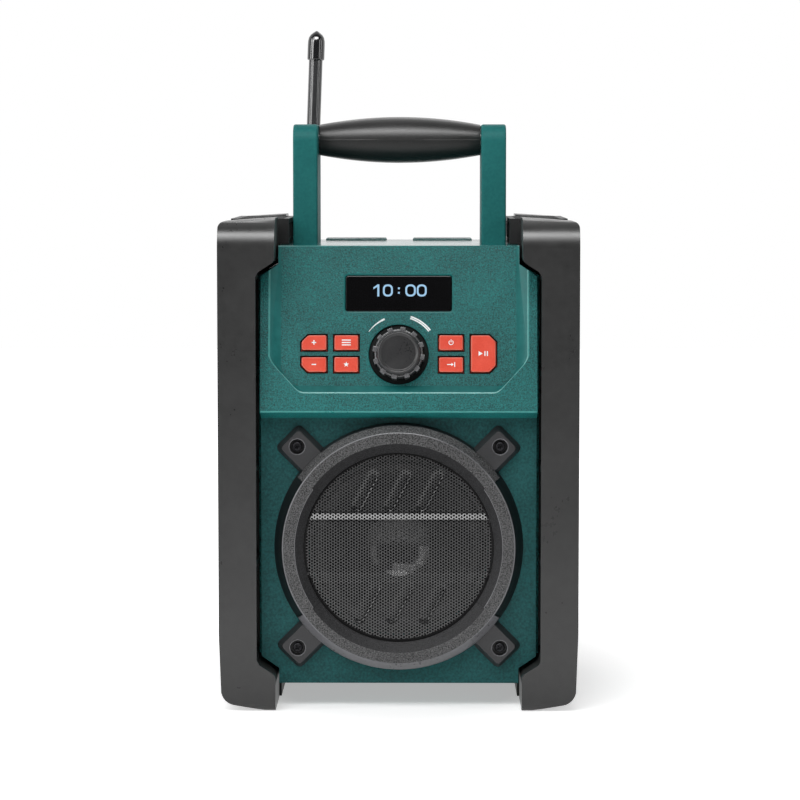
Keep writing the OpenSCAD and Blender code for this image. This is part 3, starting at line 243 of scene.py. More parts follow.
# Spider: resin-treated woven cloth, tan and dull
CLOTH_SPIDER = surface("cotton_resin_treated", ("#B8924C", "#D0AC66"), (0.75, 0.9), [(0.8, 0.12, "cells")])
# Magnet: sintered and ground ferrite, dark and faintly cloudy
FERRITE = surface("ferrite_sintered", ("#27272A", "#35353A"), (0.45, 0.6), [(1.5, 0.08)])
# Circuit boards: green solder mask over copper, which shows as paler tracks
SOLDER_MASK = surface(
    "board_green_solder_mask", ("#12482A", "#1E6A3A"), (0.2, 0.3), [(4.0, 0.05, "cells")], blotch=4)
# Sockets and small parts: black PBT as it leaves the mould, even and half matt
PBT_DARK = surface("pbt_black_moulded", ("#1C1C20", "#28282D"), (0.4, 0.52), [(0.8, 0.03)])
# Switches: ivory nylon as moulded, pale and half matt
NYLON_IVORY = surface("nylon_ivory_moulded", ("#C9C8BE", "#DAD9D0"), (0.4, 0.55), [(0.9, 0.03)])
# Heat sink: extruded aluminium, with drawn lines along the extrusion
ALUMINIUM = surface(
    "aluminium_extruded", ("#93969A", "#A8ABAE"), (0.3, 0.45), [(0.5, 0.03)], metallic=1.0,
    stretch=(1, 1, 0.08))
# Cells: plain printed shrink sleeve, unmarked
PVC_SLEEVE = surface("pvc_shrink_sleeve", ("#6F757B", "#868C92"), (0.22, 0.34), [(5.0, 0.05)])
# Pad-printed marks: opaque white ink with a slight tooth
INK_WHITE = surface("ink_white_pad_printed", ("#E6EEEE", "#F4F8F8"), (0.5, 0.62), [(0.4, 0.01)], speck=0.5)
# Lit display segments: pale blue, a little uneven as an OLED is
OLED, ot = material("oled_pale_blue")
pixels = node(ot, "ShaderNodeTexCoord").outputs["Object"]
uneven = node(ot, "ShaderNodeTexNoise", {"Vector": pixels, "Scale": 1 / (0.5 * MM)})
blue = node(ot, "ShaderNodeMix", {0: uneven, 6: colour("#86B8DE"), 7: colour("#BCE0FA")}, data_type="RGBA")
skin = node(ot, "ShaderNodeBsdfPrincipled", {
    "Base Color": colour("#0A0A0D"), "Roughness": 0.2, "Emission Color": blue.outputs[2],
    "Emission Strength": 0.95})
node(ot, "ShaderNodeOutputMaterial", {"Surface": skin})

SLOT_MATERIAL = {
    "housing_green": ABS_ERODED, "bumper_black": TPE_BLACK, "ring_grey": ABS_GREY, "grip_rubber": RUBBER_MATT,
    "black_gloss": ABS_GLOSS, "key_red": SILICONE_RED, "knob_black": ABS_KNOB, "grille_steel": STEEL_POWDER,
    "screw_black": STEEL_OXIDE, "bright_steel": STEEL_PLATED, "seal_rubber": RUBBER_SEAL,
    "cone_paper": PAPER_CONE, "coil_copper": COPPER_WIRE, "spider_cloth": CLOTH_SPIDER, "ferrite": FERRITE,
    "board_green": SOLDER_MASK, "component_dark": PBT_DARK, "switch_ivory": NYLON_IVORY,
    "heat_sink_alu": ALUMINIUM, "cell_jacket": PVC_SLEEVE,
}
NODE_MATERIAL = {
    "side_frame_left": NYLON_BLACK, "side_frame_right": NYLON_BLACK, "handle_arm_left": ABS_SATIN,
    "handle_arm_right": ABS_SATIN, "antenna_rod": RUBBER_SLEEVE, "display_lens": ACRYLIC,
    "dust_cap": DOPED_CLOTH,
}


def node_material(name):
    return NODE_MATERIAL.get(name) or SLOT_MATERIAL[NODE_SLOT[name]]


for cad_name, cad_object in frame["nodes"].items():
    cad_object.data.materials.clear()
    cad_object.data.materials.append(node_material(cad_name))
    for face in cad_object.data.polygons:
        face.material_index = 0


# ---------- tools for meshes ----------

def even_normals(me, smooth):
    """Gives each corner the mean normal of the faces round it that bend less than `smooth` degrees from
    its own, weighted by their areas, so that large faces stay flat up to their rounded edges."""
    least = math.cos(math.radians(smooth))
    facts = [(f.normal.copy(), f.area, f.vertices[:]) for f in me.polygons]
    around = [[] for _ in me.vertices]
    for fact in facts:
        for v in fact[2]:
            around[v].append(fact)
    normals = []
    for normal, area, corners in facts:
        for v in corners:
            total = normal * (area * 0.001)
            for other, size, _ in around[v]:
                if normal.dot(other) > least:
                    total += other * size
            normals.append(total.normalized())
    me.polygons.foreach_set("use_smooth", [True] * len(facts))
    me.normals_split_custom_set(normals)


def face_out(bm):
    bmesh.ops.recalc_face_normals(bm, faces=bm.faces)


# Points closer than this, in metres, are one
SAME = 2e-6


def near(a, b, by=0.1):
    return abs(a - b) < by


def mesh_of(name, bm):
    """Turns a mesh that was being drawn into mesh data."""
    me = bpy.data.meshes.new(name)
    bm.to_mesh(me)
    bm.free()
    return me


def link(name, data):
    """Puts a mesh, a lamp or a camera in the scene."""
    o = bpy.data.objects.new(name, data)
    bpy.context.scene.collection.objects.link(o)
    return o


def solid(name, bm, mats, body, stands_for=(), smooth=35):
    """Makes a finished piece of the mesh, with normals that follow its larger faces."""
    bmesh.ops.dissolve_degenerate(bm, dist=SAME, edges=bm.edges)
    me = mesh_of(name, bm)
    for m in mats:
        me.materials.append(m)
    even_normals(me, smooth)
    o = link(name, me)
    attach(o, body)
    if stands_for:
        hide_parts(*stands_for)


def in_place_of(name, bm, mats=None, smooth=35):
    """Makes the mesh the piece that stands for one CAD node."""
    solid("fine_" + name, bm, mats or [node_material(name)], NODE_BODY[name], [name], smooth)


def cad_solid(name, place=None):
    """A copy of a CAD node's mesh, merged into a clean closed solid, in mm of the frame `place`."""
    bm = bmesh.new()
    bm.from_mesh(frame["nodes"][name].data)
    bmesh.ops.remove_doubles(bm, verts=bm.verts, dist=SAME)
    bmesh.ops.dissolve_limit(bm, angle_limit=math.radians(1), verts=bm.verts, edges=bm.edges)
    bm.transform(SCALE.inverted() @ (place.inverted() if place else Matrix.Identity(4)))
    bm.normal_update()
    return bm


def settle(bm, place=None):
    """Puts a mesh drawn in mm of the frame `place` where it belongs."""
    bm.transform((place if place else Matrix.Identity(4)) @ SCALE)
    return bm


def round_edges(bm, radius, segments=2, where=None, least=25, clamp=True):
    """Rounds the edges sharper than `least` degrees for which where(middle, direction) holds, and gives
    back the new faces."""
    edges = []
    for e in bm.edges:
        if len(e.link_faces) != 2 or e.calc_face_angle(0) < math.radians(least):
            continue
        a, b = e.verts[0].co, e.verts[1].co
        if where is None or where((a + b) / 2, (b - a).normalized()):
            edges.append(e)
    return bmesh.ops.bevel(bm, geom=edges, offset=radius, segments=segments, profile=0.5, affect="EDGES",
                           clamp_overlap=clamp, loop_slide=True)["faces"]


def corner_arcs(points, radii):
    """A closed 2-D outline with its corners rounded, each by at most half of its shorter side."""
    result = []
    steps = 5
    for i, p in enumerate(points):
        r = radii[i] if isinstance(radii, (list, tuple)) else radii
        p = Vector(p)
        a = Vector(points[i - 1]) - p
        b = Vector(points[(i + 1) % len(points)]) - p
        if r <= 0:
            result.append(p)
            continue
        half = a.angle(b) / 2
        reach = min(r / math.tan(half), 0.49 * a.length, 0.49 * b.length)
        r = reach * math.tan(half)
        a.normalize()
        b.normalize()
        centre = p + (a + b).normalized() * (r / math.sin(half))
        v = [(p + side * reach) - centre for side in (a, b)]
        start = math.atan2(v[0].y, v[0].x)
        sweep = (math.atan2(v[1].y, v[1].x) - start + math.pi) % (2 * math.pi) - math.pi
        for k in range(steps + 1):
            t = start + sweep * k / steps
            result.append(centre + Vector((r * math.cos(t), r * math.sin(t))))
    return result


def by_angle(points, centre, angles):
    """Where rays from the centre, one for each angle, meet an outline that the centre sees all of."""
    result = []
    for t in angles:
        d = Vector((math.cos(t), math.sin(t)))
        best = None
        for i, p in enumerate(points):
            a = Vector(points[i - 1]) - Vector(centre)
            e = Vector(p) - Vector(points[i - 1])
            cross = d.x * e.y - d.y * e.x
            if abs(cross) < 1e-12:
                continue
            s = (a.x * e.y - a.y * e.x) / cross
            k = (a.x * d.y - a.y * d.x) / cross
            if s > 0 and -1e-6 <= k <= 1 + 1e-6 and (best is None or s > best):
                best = s
        result.append(Vector(centre) + d * best)
    return result


def loft(bm, rings, ends=True):
    """Joins rings of 3-D points, each as long as the first, and closes both ends."""
    loops = [[bm.verts.new(p) for p in ring] for ring in rings]
    for low, high in zip(loops, loops[1:]):
        for i in range(len(low)):
            j = (i + 1) % len(low)
            bm.faces.new((low[i], low[j], high[j], high[i]))
    if ends:
        bm.faces.new(loops[0][::-1])
        bm.faces.new(loops[-1])
    return bm


def add_mesh(bm, extra):
    """Moves the mesh `extra` into `bm`, with its faces outwards."""
    face_out(extra)
    bm.from_mesh(mesh_of("part", extra))


def flat_ring(points, height):
    return [Vector((p[0], p[1], height)) for p in points]


def turn(count):
    return [i * math.tau / count for i in range(count)]


def circle(radius, count, centre=(0, 0)):
    return [Vector((centre[0] + radius * math.cos(a), centre[1] + radius * math.sin(a))) for a in turn(count)]


def revolve(profile_at, angles, finish=0):
    """Turns a closed profile of (radius, height) about Z; finish is its material's number."""
    bm = bmesh.new()
    rings = [[bm.verts.new((r * math.cos(a), r * math.sin(a), h)) for r, h in profile_at(a)] for a in angles]
    count = len(rings[0])
    for i, ring in enumerate(rings):
        after = rings[(i + 1) % len(rings)]
        for j in range(count):
            k = (j + 1) % count
            on_axis = ring[j].co.xy.length + ring[k].co.xy.length < 1e-6
            if not on_axis:
                bm.faces.new((ring[j], after[j], after[k], ring[k])).material_index = finish
    bmesh.ops.remove_doubles(bm, verts=bm.verts, dist=1e-4)
    face_out(bm)
    return bm


def tree_with_sizes(name, sizes):
    """A geometry tree with named inputs, given as {name: socket type}."""
    tree = bpy.data.node_groups.new(name, "GeometryNodeTree")
    tree.is_modifier = True
    tree.interface.new_socket("Geometry", in_out="INPUT", socket_type="NodeSocketGeometry")
    for label, kind in sizes.items():
        tree.interface.new_socket(label, in_out="INPUT", socket_type="NodeSocket" + kind)
    tree.interface.new_socket("Geometry", in_out="OUTPUT", socket_type="NodeSocketGeometry")
    return tree, node(tree, "NodeGroupInput").outputs


def finish_tree(tree, geometry, mat):
    """Gives a tree's geometry its material and leads it out."""
    coated = node(tree, "GeometryNodeSetMaterial", {"Geometry": geometry, "Material": mat})
    node(tree, "NodeGroupOutput", {0: coated})
    return tree


def run_tree(tree, bm, values):
    """Runs a geometry tree on a mesh and gives back the plain mesh it makes."""
    o = link("start", mesh_of("start", bm))
    made = o.modifiers.new(tree.name, "NODES")
    made.node_group = tree
    names = {s.name: s.identifier for s in tree.interface.items_tree if s.in_out == "INPUT"}
    for label, value in values.items():
        made[names[label]] = value
    graph = bpy.context.evaluated_depsgraph_get()
    mesh = bpy.data.meshes.new_from_object(o.evaluated_get(graph), depsgraph=graph)
    bpy.data.objects.remove(o)
    result = bmesh.new()
    result.from_mesh(mesh)
    for f in result.faces:
        f.material_index = 0
    return result


def pattern_object(name, bm):
    """A small mesh that a tree repeats; it isn't shown itself."""
    return bpy.data.objects.new(name, mesh_of(name, bm))


# ---------- trees ----------

def perforation_tree():
    """A flat sheet of hexagonal cells in staggered columns, each with a hole, cut to a disc."""
    t, size = tree_with_sizes("perforated_sheet", {
        "Column pitch": "Float", "Columns": "Int", "Width": "Float", "Rows": "Int", "Depth": "Float",
        "Stagger": "Float", "Reach": "Float", "Cell radius": "Float", "Hole share": "Float",
        "Material": "Material"})
    grid = node(t, "GeometryNodeMeshGrid", {
        "Size X": size["Width"], "Size Y": size["Depth"],
        "Vertices X": size["Columns"], "Vertices Y": size["Rows"]})
    at = node(t, "GeometryNodeInputPosition")
    across = node(t, "ShaderNodeSeparateXYZ", {0: at})
    column = node(t, "ShaderNodeMath", {0: across, 1: size["Column pitch"]}, operation="DIVIDE")
    whole = node(t, "ShaderNodeMath", {0: column}, operation="ROUND")
    odd = node(t, "ShaderNodeMath", {0: whole, 1: 2.0}, operation="FLOORED_MODULO")
    up = node(t, "ShaderNodeMath", {0: odd, 1: size["Stagger"]}, operation="MULTIPLY")
    shift = node(t, "ShaderNodeCombineXYZ", {1: up})
    staggered = node(t, "GeometryNodeSetPosition", {"Geometry": grid, "Offset": shift})
    out_by = node(t, "ShaderNodeVectorMath", {0: at}, operation="LENGTH").outputs["Value"]
    outside = node(t, "FunctionNodeCompare", {0: out_by, 1: size["Reach"]}, operation="GREATER_THAN")
    points = node(t, "GeometryNodeDeleteGeometry", {"Geometry": staggered, "Selection": outside},
                  domain="POINT")
    cell = node(t, "GeometryNodeMeshCircle", {"Vertices": 6, "Radius": size["Cell radius"]},
                fill_type="NGON")
    top = node(t, "GeometryNodeExtrudeMesh", {"Mesh": cell, "Offset Scale": 0.0}, mode="FACES")
    inset = node(t, "GeometryNodeScaleElements", {
        "Geometry": top, "Selection": top.outputs["Top"], "Scale": size["Hole share"]},
        domain="FACE")
    open_cell = node(t, "GeometryNodeDeleteGeometry", {"Geometry": inset, "Selection": top.outputs["Top"]},
                     domain="FACE")
    placed = node(t, "GeometryNodeInstanceOnPoints", {"Points": points, "Instance": open_cell})
    real = node(t, "GeometryNodeRealizeInstances", {0: placed})
    return finish_tree(t, real, size["Material"])


def ribs_tree():
    """Repeats a rib round the Z axis and joins the ribs to the body they stand on."""
    t, size = tree_with_sizes("ribs_round_axis", {
        "Count": "Int", "First angle": "Float", "Rib": "Object", "Material": "Material"})
    line = node(t, "GeometryNodeMeshLine", {"Count": size["Count"], "Offset": (0, 0, 0)})
    share = node(t, "ShaderNodeMath", {0: node(t, "GeometryNodeInputIndex"), 1: size["Count"]},
                 operation="DIVIDE")
    angle = node(t, "ShaderNodeMath", {0: share, 1: math.tau, 2: size["First angle"]},
                 operation="MULTIPLY_ADD")
    facing = node(t, "ShaderNodeCombineXYZ", {2: angle})
    rib = node(t, "GeometryNodeObjectInfo", {"Object": size["Rib"]}).outputs["Geometry"]
    placed = node(t, "GeometryNodeInstanceOnPoints", {"Points": line, "Instance": rib,
                                                      "Rotation": facing})
    real = node(t, "GeometryNodeRealizeInstances", {0: placed})
    both = node(t, "GeometryNodeJoinGeometry")
    t.links.new(size["Geometry"], both.inputs[0])
    t.links.new(real.outputs[0], both.inputs[0])
    return finish_tree(t, both, size["Material"])


def fixings_tree():
    """Sets one screw at each point of the incoming mesh, all turned alike."""
    t, size = tree_with_sizes("screws_at_points", {"Screw": "Object", "Facing": "Vector",
                                                   "Material": "Material"})
    screw = node(t, "GeometryNodeObjectInfo", {"Object": size["Screw"]}).outputs["Geometry"]
    placed = node(t, "GeometryNodeInstanceOnPoints", {"Points": size["Geometry"], "Instance": screw,
                                                      "Rotation": size["Facing"]})
    real = node(t, "GeometryNodeRealizeInstances", {0: placed})
    return finish_tree(t, real, size["Material"])


# ---------- housing ----------

# The front's finishes, in the order of its material numbers
FRONT_FINISHES = [ABS_ERODED, ABS_SMOOTH, ABS_PAINTED_SHADE, ABS_BAFFLE, ABS_PAINTED_HIGHLIGHT, ABS_TOP]
SMOOTH, PAINTED_SHADE, BAFFLE, PAINTED_HIGHLIGHT, TOP = range(1, 6)
# On the panel: the keys' fields, half the display's window with a margin, and just outside the bay's sides
KEYS_U, KEYS_V = (20, 53), (20.8, 43)
WINDOW_HALF = (29, 10.2)
BAY_HALF = 69.6


def on_floor(c):
    return near(c.z, BAY_W, 0.05)


def in_keys(c):
    return KEYS_U[0] < abs(c.x) < KEYS_U[1] and KEYS_V[0] < c.y < KEYS_V[1]


def from_knob(c):
    return math.hypot(c.x, c.y - KNOB_V)


front = cad_solid("front_housing", PANEL)
# The bay's own corners first, then the crest all round it, and the openings in its floor
round_edges(front, 2.4, 4, lambda c, d: BAY_W < c.z < 0 and abs(d.z) > 0.3 and c.y < 70, least=20)
# The crest round the bay takes the paler green: a painted highlight
for f in round_edges(front, 0.45, 2, lambda c, d: near(c.z, 0, 0.05) and abs(c.x) < BAY_HALF and c.y > 1,
                     least=15):
    f.material_index = PAINTED_HIGHLIGHT
round_edges(front, 1.1, 2, lambda c, d: on_floor(c) and abs(c.x) < WINDOW_HALF[0]
            and near(c.y, DISPLAY_V, WINDOW_HALF[1]), clamp=False)
round_edges(front, 0.4, 1, lambda c, d: on_floor(c) and in_keys(c), clamp=False)
round_edges(front, 0.45, 2, lambda c, d: on_floor(c) and from_knob(c) < 16.5, clamp=False)
# Then, with the housing upright, the top front edge and the lip's edge, whose faces take the paler green as a
# painted highlight, its front corners and its lower edge
front.transform(SCALE.inverted() @ PANEL @ SCALE)
painted_highlight = round_edges(front, 0.6, 2, lambda c, d: c.z > TOP_Z - 0.2 and c.y < -60 and abs(d.x) > 0.5)
painted_highlight += round_edges(front, 0.7, 2, lambda c, d: near(c.z, LIP_Z) and abs(d.x) > 0.9)
for f in painted_highlight:
    f.material_index = PAINTED_HIGHLIGHT
round_edges(front, 0.9, 2, lambda c, d: c.y < -60 and abs(c.x) > 60 and abs(d.x) < 0.2)
round_edges(front, 0.8, 2, lambda c, d: c.z < BASE_Z + 0.1 and c.y < -75 and abs(d.x) > 0.9)
to_panel = PANEL.inverted()
for f in front.faces:
    middle = f.calc_center_median()
    c = to_panel @ (middle * MM) / MM
    outward = (to_panel.to_3x3() @ f.normal).z
    if f.material_index == PAINTED_HIGHLIGHT:
        continue
    if middle.z > TOP_Z - 0.2 and f.normal.z > 0.95:
        f.material_index = TOP
    # The knob's well and the key openings take near-black painted shade
    elif -6 < c.z < BAY_W - 0.02 and (from_knob(c) < 16.2 or in_keys(c)):
        f.material_index = PAINTED_SHADE
    # The baffle takes the deeper green, partly painted shade
    elif near(middle.y, BAFFLE_Y, 0.9) and middle.z < 157:
        f.material_index = BAFFLE
    elif c.y > 5 and BAY_W - 2.6 < c.z < 0 and 0.2 < outward < 0.97:
        f.material_index = SMOOTH
in_place_of("front_housing", settle(front), FRONT_FINISHES)

rear = cad_solid("rear_housing")
round_edges(rear, 1.2, 2, lambda c, d: c.y > BACK_Y - 0.1
            and (abs(c.x) > 64 or c.z > TOP_Z - 1 or c.z < BASE_Z + 0.2))
round_edges(rear, 1.0, 2, lambda c, d: c.z > TOP_Z + 1 or (c.y > BACK_Y and c.z > 180))
for f in rear.faces:
    height = f.calc_center_median().z
    if f.normal.z > 0.95 and height > TOP_Z - 0.2 or height > TOP_Z + 0.05:
        f.material_index = 1
in_place_of("rear_housing", settle(rear), [ABS_ERODED, ABS_TOP])
for lid, radius, where in (("battery_door", 0.6, lambda c, d: c.y > BACK_Y - 0.1 and c.z > 25),
                           ("port_cover", 0.8, lambda c, d: c.y > BACK_Y)):
    bm = cad_solid(lid)
    round_edges(bm, radius, 2, where)
    in_place_of(lid, settle(bm))


# ---------- bumpers, frames and handle ----------

# The bumpers' inner outline: its X at the feet and heads, its X at the columns, and the slopes' heights
FOOT_X, COLUMN_X = 66, 76
SLOPES_Z = ((23, 30), (230, 240))
for bumper in ("front_bumper_left", "front_bumper_right", "rear_bumper_left", "rear_bumper_right"):
    bm = cad_solid(bumper)
    # Bends of the inner outline, then the edges round it
    round_edges(bm, 1.8, 3, lambda c, d: abs(d.y) > 0.99 and near(abs(c.x), FOOT_X) and 15 < c.z < 250)
    round_edges(bm, 3.0, 4, lambda c, d: abs(d.y) > 0.99 and near(abs(c.x), COLUMN_X)
                and any(low < c.z < high for low, high in SLOPES_Z))
    round_edges(bm, 1.3, 3, lambda c, d: abs(d.y) < 0.9 and (abs(c.x) > 80 or abs(c.x) < COLUMN_X + 0.3),
                least=30)
    in_place_of(bumper, settle(bm))
# Gussets in the frames' corners, which close the slits beside the housing's steps: their X-Z outlines,
# and how far they run forwards and back
GUSSETS = ([(66, 238.75), (75.9, 233.05), (76.2, 233.05), (76.2, 241.2), (66, 241.2)],
           [(66, 19.2), (76.2, 19.2), (76.2, 27.2), (75.9, 27.2), (66, 21.5)])
GUSSET_Y = 30
for side, side_frame in ((-1, "side_frame_left"), (1, "side_frame_right")):
    bm = cad_solid(side_frame)
    round_edges(bm, 0.7, 2, lambda c, d: abs(c.x) < 91 and c.z > 250 or abs(c.x) > 91.7)
    for outline in GUSSETS:
        ends = [[Vector((side * x, y, z)) for x, z in outline] for y in (-GUSSET_Y, GUSSET_Y)]
        add_mesh(bm, loft(bmesh.new(), ends))
    in_place_of(side_frame, settle(bm))
# The grip's axis, the arms' inner faces and a place just inside their outer ones
GRIP_Y, GRIP_Z = -4, 306
ARM_IN, ARM_OUT = 45, 58.5
for arm in ("handle_arm_left", "handle_arm_right"):
    bm = cad_solid(arm)
    round_edges(bm, 1.2, 3, lambda c, d: c.z > TOP_Z + 0.5 and (near(abs(c.x), ARM_IN) or abs(c.x) > ARM_OUT)
                and math.hypot(c.y - GRIP_Y, c.z - GRIP_Z) > 7)
    in_place_of(arm, settle(bm))

# Grip: a barrel whose thickness falls off as a parabola, with the mould's parting line front and back
GRIP = Matrix.Translation((0, GRIP_Y * MM, GRIP_Z * MM)) @ Matrix.Rotation(math.pi / 2, 4, "Y")
GRIP_HALF, GRIP_END_R, SWELL = 44.8, 8.55, 4.2
SEAM, SEAM_HEIGHT = math.radians(0.9), 0.06
GRIP_END = [(6.05, -GRIP_HALF), (8.2, -GRIP_HALF), (8.5, -GRIP_HALF + 0.25)]
barrel = [(GRIP_END_R + SWELL * (1 - (i / 20) ** 2), i / 20 * (GRIP_HALF - 0.7)) for i in range(-20, 21)]
barrel = GRIP_END + barrel + [(r, -h) for r, h in GRIP_END[::-1]]
grip_angles = sorted(turn(72) + [math.pi * q + s * SEAM for q in (0.5, 1.5) for s in (-2, -1, 1, 2)])


def grip_profile(a):
    raised = SEAM_HEIGHT if abs(math.sin(a)) > math.cos(SEAM / 2) else 0
    return [(r + raised if r >= GRIP_END_R else r, h) for r, h in barrel]


in_place_of("handle_grip", settle(revolve(grip_profile, grip_angles), GRIP))


# ---------- speaker ----------

# The ring's finishes, in the order of its material numbers
RING_FINISHES = [ABS_GREY, ABS_GREY_SMOOTH, ABS_GREY_LUG, ABS_GREY_PAINTED_HIGHLIGHT, ABS_GREY_BEVEL]
GRAINED, FLANK, LUG, CREST, BEVEL = range(5)
# The ring's outer flank has a wide grained chamfer above and below, and a steep plain side left and
# right: the chamfers' ends in degrees, and the small angle over which one turns into the other
CHAMFERS = ((35, 145), (215, 325))
STEP = math.radians(0.25)
FACE_R, FACE_H = 62.3, 9.5


def is_chamfered(a):
    return any(low <= math.degrees(a) % 360 <= high for low, high in CHAMFERS)


def ring_profile(a):
    foot = 67.0
    waist_r, waist_h, inner = (66.0, 5.4, 56.5) if is_chamfered(a) else (64.7, 4.7, 55.7)
    return [(53.2, 0), (foot, 0), (foot - 0.2, 0.6), (waist_r + 0.1, waist_h - 0.3),
            (waist_r - 0.15, waist_h + 0.25), (FACE_R + 0.25, FACE_H - 0.3), (FACE_R - 0.1, FACE_H - 0.06),
            (FACE_R - 0.4, FACE_H), (inner + 0.2, FACE_H), (inner - 0.1, FACE_H - 0.1), (51.3, 5.1),
            (51.2, 4.9), (51.2, 4.3), (53.2, 4.3)]


notches = [math.radians(a) for ends in CHAMFERS for a in ends]
ring = revolve(ring_profile, sorted(turn(240) + [n + s * STEP for n in notches for s in (-1, 0, 1)]))
for f in ring.faces:
    c = f.calc_center_median()
    r = math.hypot(c.x, c.y)
    chamfer = is_chamfered(math.atan2(c.y, c.x)) and FACE_R + 0.3 < r < 66 and c.z > 5
    outer_crest = FACE_R - 0.38 < r < FACE_R + 0.3
    inner_crest = 55.6 < r < 56.5 and f.normal.z > 0.3
    # Crests and the lower chamfer take the paler grey: a painted highlight
    if c.z > 9.1 and (outer_crest or inner_crest) or chamfer and c.y < 0:
        f.material_index = CREST
    # The inner bevel takes the deeper grey: painted shade
    elif r < 56 and 5.2 < c.z < 9.4 and f.normal.z > 0.2:
        f.material_index = BEVEL
    # Elsewhere the grained face, or the flanks' darker grey, partly painted shade
    else:
        f.material_index = GRAINED if chamfer or 56 < r < FACE_R and c.z > 9 else FLANK
# Four lugs with drafted sides, each with a counterbored screw seat. The sides are given as half width,
# reach, corner radius and height, and the seat as radius and height
LUG_ROOT, LUG_SCREW, LUG_TOP = 61, 76.93, 5
LUG_SIDES = ((9.3, 84.93, 3, 0), (7.3, 83.0, 2.2, 4.6), (6.9, 82.6, 2, LUG_TOP))
SEAT = ((4.5, LUG_TOP), (4.2, 4.85), (4.0, 4.5), (4.0, 2.2), (1.55, 2.2), (1.55, 0))
SEAT_R, SEAT_EDGE_R = 4.02, 4.55
rays = turn(64)
lug_rings = []
for half, reach, corner, height in LUG_SIDES:
    sides = corner_arcs([(LUG_ROOT, -half), (reach, -half), (reach, half), (LUG_ROOT, half)],
                        [0, corner, corner, 0])
    lug_rings.append(flat_ring(by_angle(sides, (LUG_SCREW, 0), rays), height))
lug_rings += [flat_ring(circle(r, len(rays), (LUG_SCREW, 0)), h) for r, h in SEAT]
for quarter in range(4):
    lug = loft(bmesh.new(), lug_rings)
    for f in lug.faces:
        c = f.calc_center_median()
        r = math.hypot(c.x - LUG_SCREW, c.y)
        # The seat's edge takes the paler grey, a painted highlight, and its well the flanks' darker grey,
        # painted shade
        f.material_index = CREST if SEAT_R < r < SEAT_EDGE_R and c.z > 4.4 else FLANK if r < SEAT_R else LUG
    lug.transform(Matrix.Rotation(math.radians(45 + 90 * quarter), 4, "Z"))
    add_mesh(ring, lug)
in_place_of("speaker_ring", settle(ring, SPEAKER), RING_FINISHES, smooth=30)

# Grille: the sheet's height and thickness, and its holes, which stand in upright columns
SHEET_H, SHEET_T = 2.1, 0.45
PITCH, HOLE_R, PERFORATED_R = 1.63, 0.64, 51.7
COLUMN_PITCH = PITCH * math.sqrt(3) / 2
# A raised band crosses it: the band's height, half its width and the width of its slopes
BAND, BAND_HALF, BAND_SLOPE = 1.85, 18.6, 4.0
# Six leaning slots are pressed in: their depth and slope, half length and radius, and their rows
DENT, DENT_SLOPE = 0.6, 1.3
SLOT_LEAN, SLOT_HALF, SLOT_R = math.radians(28), 9.2, 2.4
SLOT_PITCH, SLOT_ROW, SLOT_SHIFT = 17.4, 30.2, 0.6


def relief(x, y):
    """Height of the pressed sheet: its raised band less its slots, which are alike after half a turn."""
    band = BAND * min(1, max(0, (BAND_HALF - abs(y)) / BAND_SLOPE))
    side = 1 if y > 0 else -1
    x, y = x * side + SLOT_SHIFT, y * side - SLOT_ROW
    x -= SLOT_PITCH * max(-1, min(1, round(x / SLOT_PITCH)))
    along = x * math.sin(SLOT_LEAN) + y * math.cos(SLOT_LEAN)
    across = x * math.cos(SLOT_LEAN) - y * math.sin(SLOT_LEAN)
    away = math.hypot(across, max(0, abs(along) - SLOT_HALF)) - SLOT_R
    return band - DENT * min(1, max(0, 0.5 - away / DENT_SLOPE))


def thicken(bm, depth):
    """Gives an open sheet a back `depth` below it and closes all its edges."""
    made = bmesh.ops.extrude_face_region(bm, geom=bm.faces[:], use_keep_orig=True)["geom"]
    for v in made:
        if isinstance(v, bmesh.types.BMVert):
            v.co.z -= depth
    face_out(bm)


half_columns = math.ceil(PERFORATED_R / COLUMN_PITCH)
half_rows = math.ceil(PERFORATED_R / PITCH) + 1
sheet = run_tree(perforation_tree(), bmesh.new(), {
    "Column pitch": COLUMN_PITCH, "Columns": 2 * half_columns + 1, "Width": 2 * half_columns * COLUMN_PITCH,
    "Rows": 2 * half_rows + 1, "Depth": 2 * half_rows * PITCH, "Stagger": PITCH / 2, "Reach": PERFORATED_R,
    "Cell radius": PITCH / math.sqrt(3), "Hole share": HOLE_R * math.sqrt(3) / PITCH,
    "Material": STEEL_POWDER})
bmesh.ops.remove_doubles(sheet, verts=sheet.verts, dist=0.02)
thicken(sheet, SHEET_T)
# The sheet's plain rim, which closes the cut cells, turns back to the baffle and in behind the sheet
RIM = [(49.9, 0.04), (53.0, 0.04), (53.1, -0.06), (53.1, -1.95), (48.1, -1.95), (48.1, -1.6), (52.6, -1.6),
       (52.6, -0.4), (49.9, -0.4)]
# The rim's near-black finish is painted shade under the ring
add_mesh(sheet, revolve(lambda a: RIM, turn(240), finish=1))
for v in sheet.verts:
    v.co.z += SHEET_H + relief(v.co.x, v.co.y)
in_place_of("speaker_grille", settle(sheet, SPEAKER), [STEEL_POWDER, STEEL_RIM_PAINTED_SHADE], smooth=40)


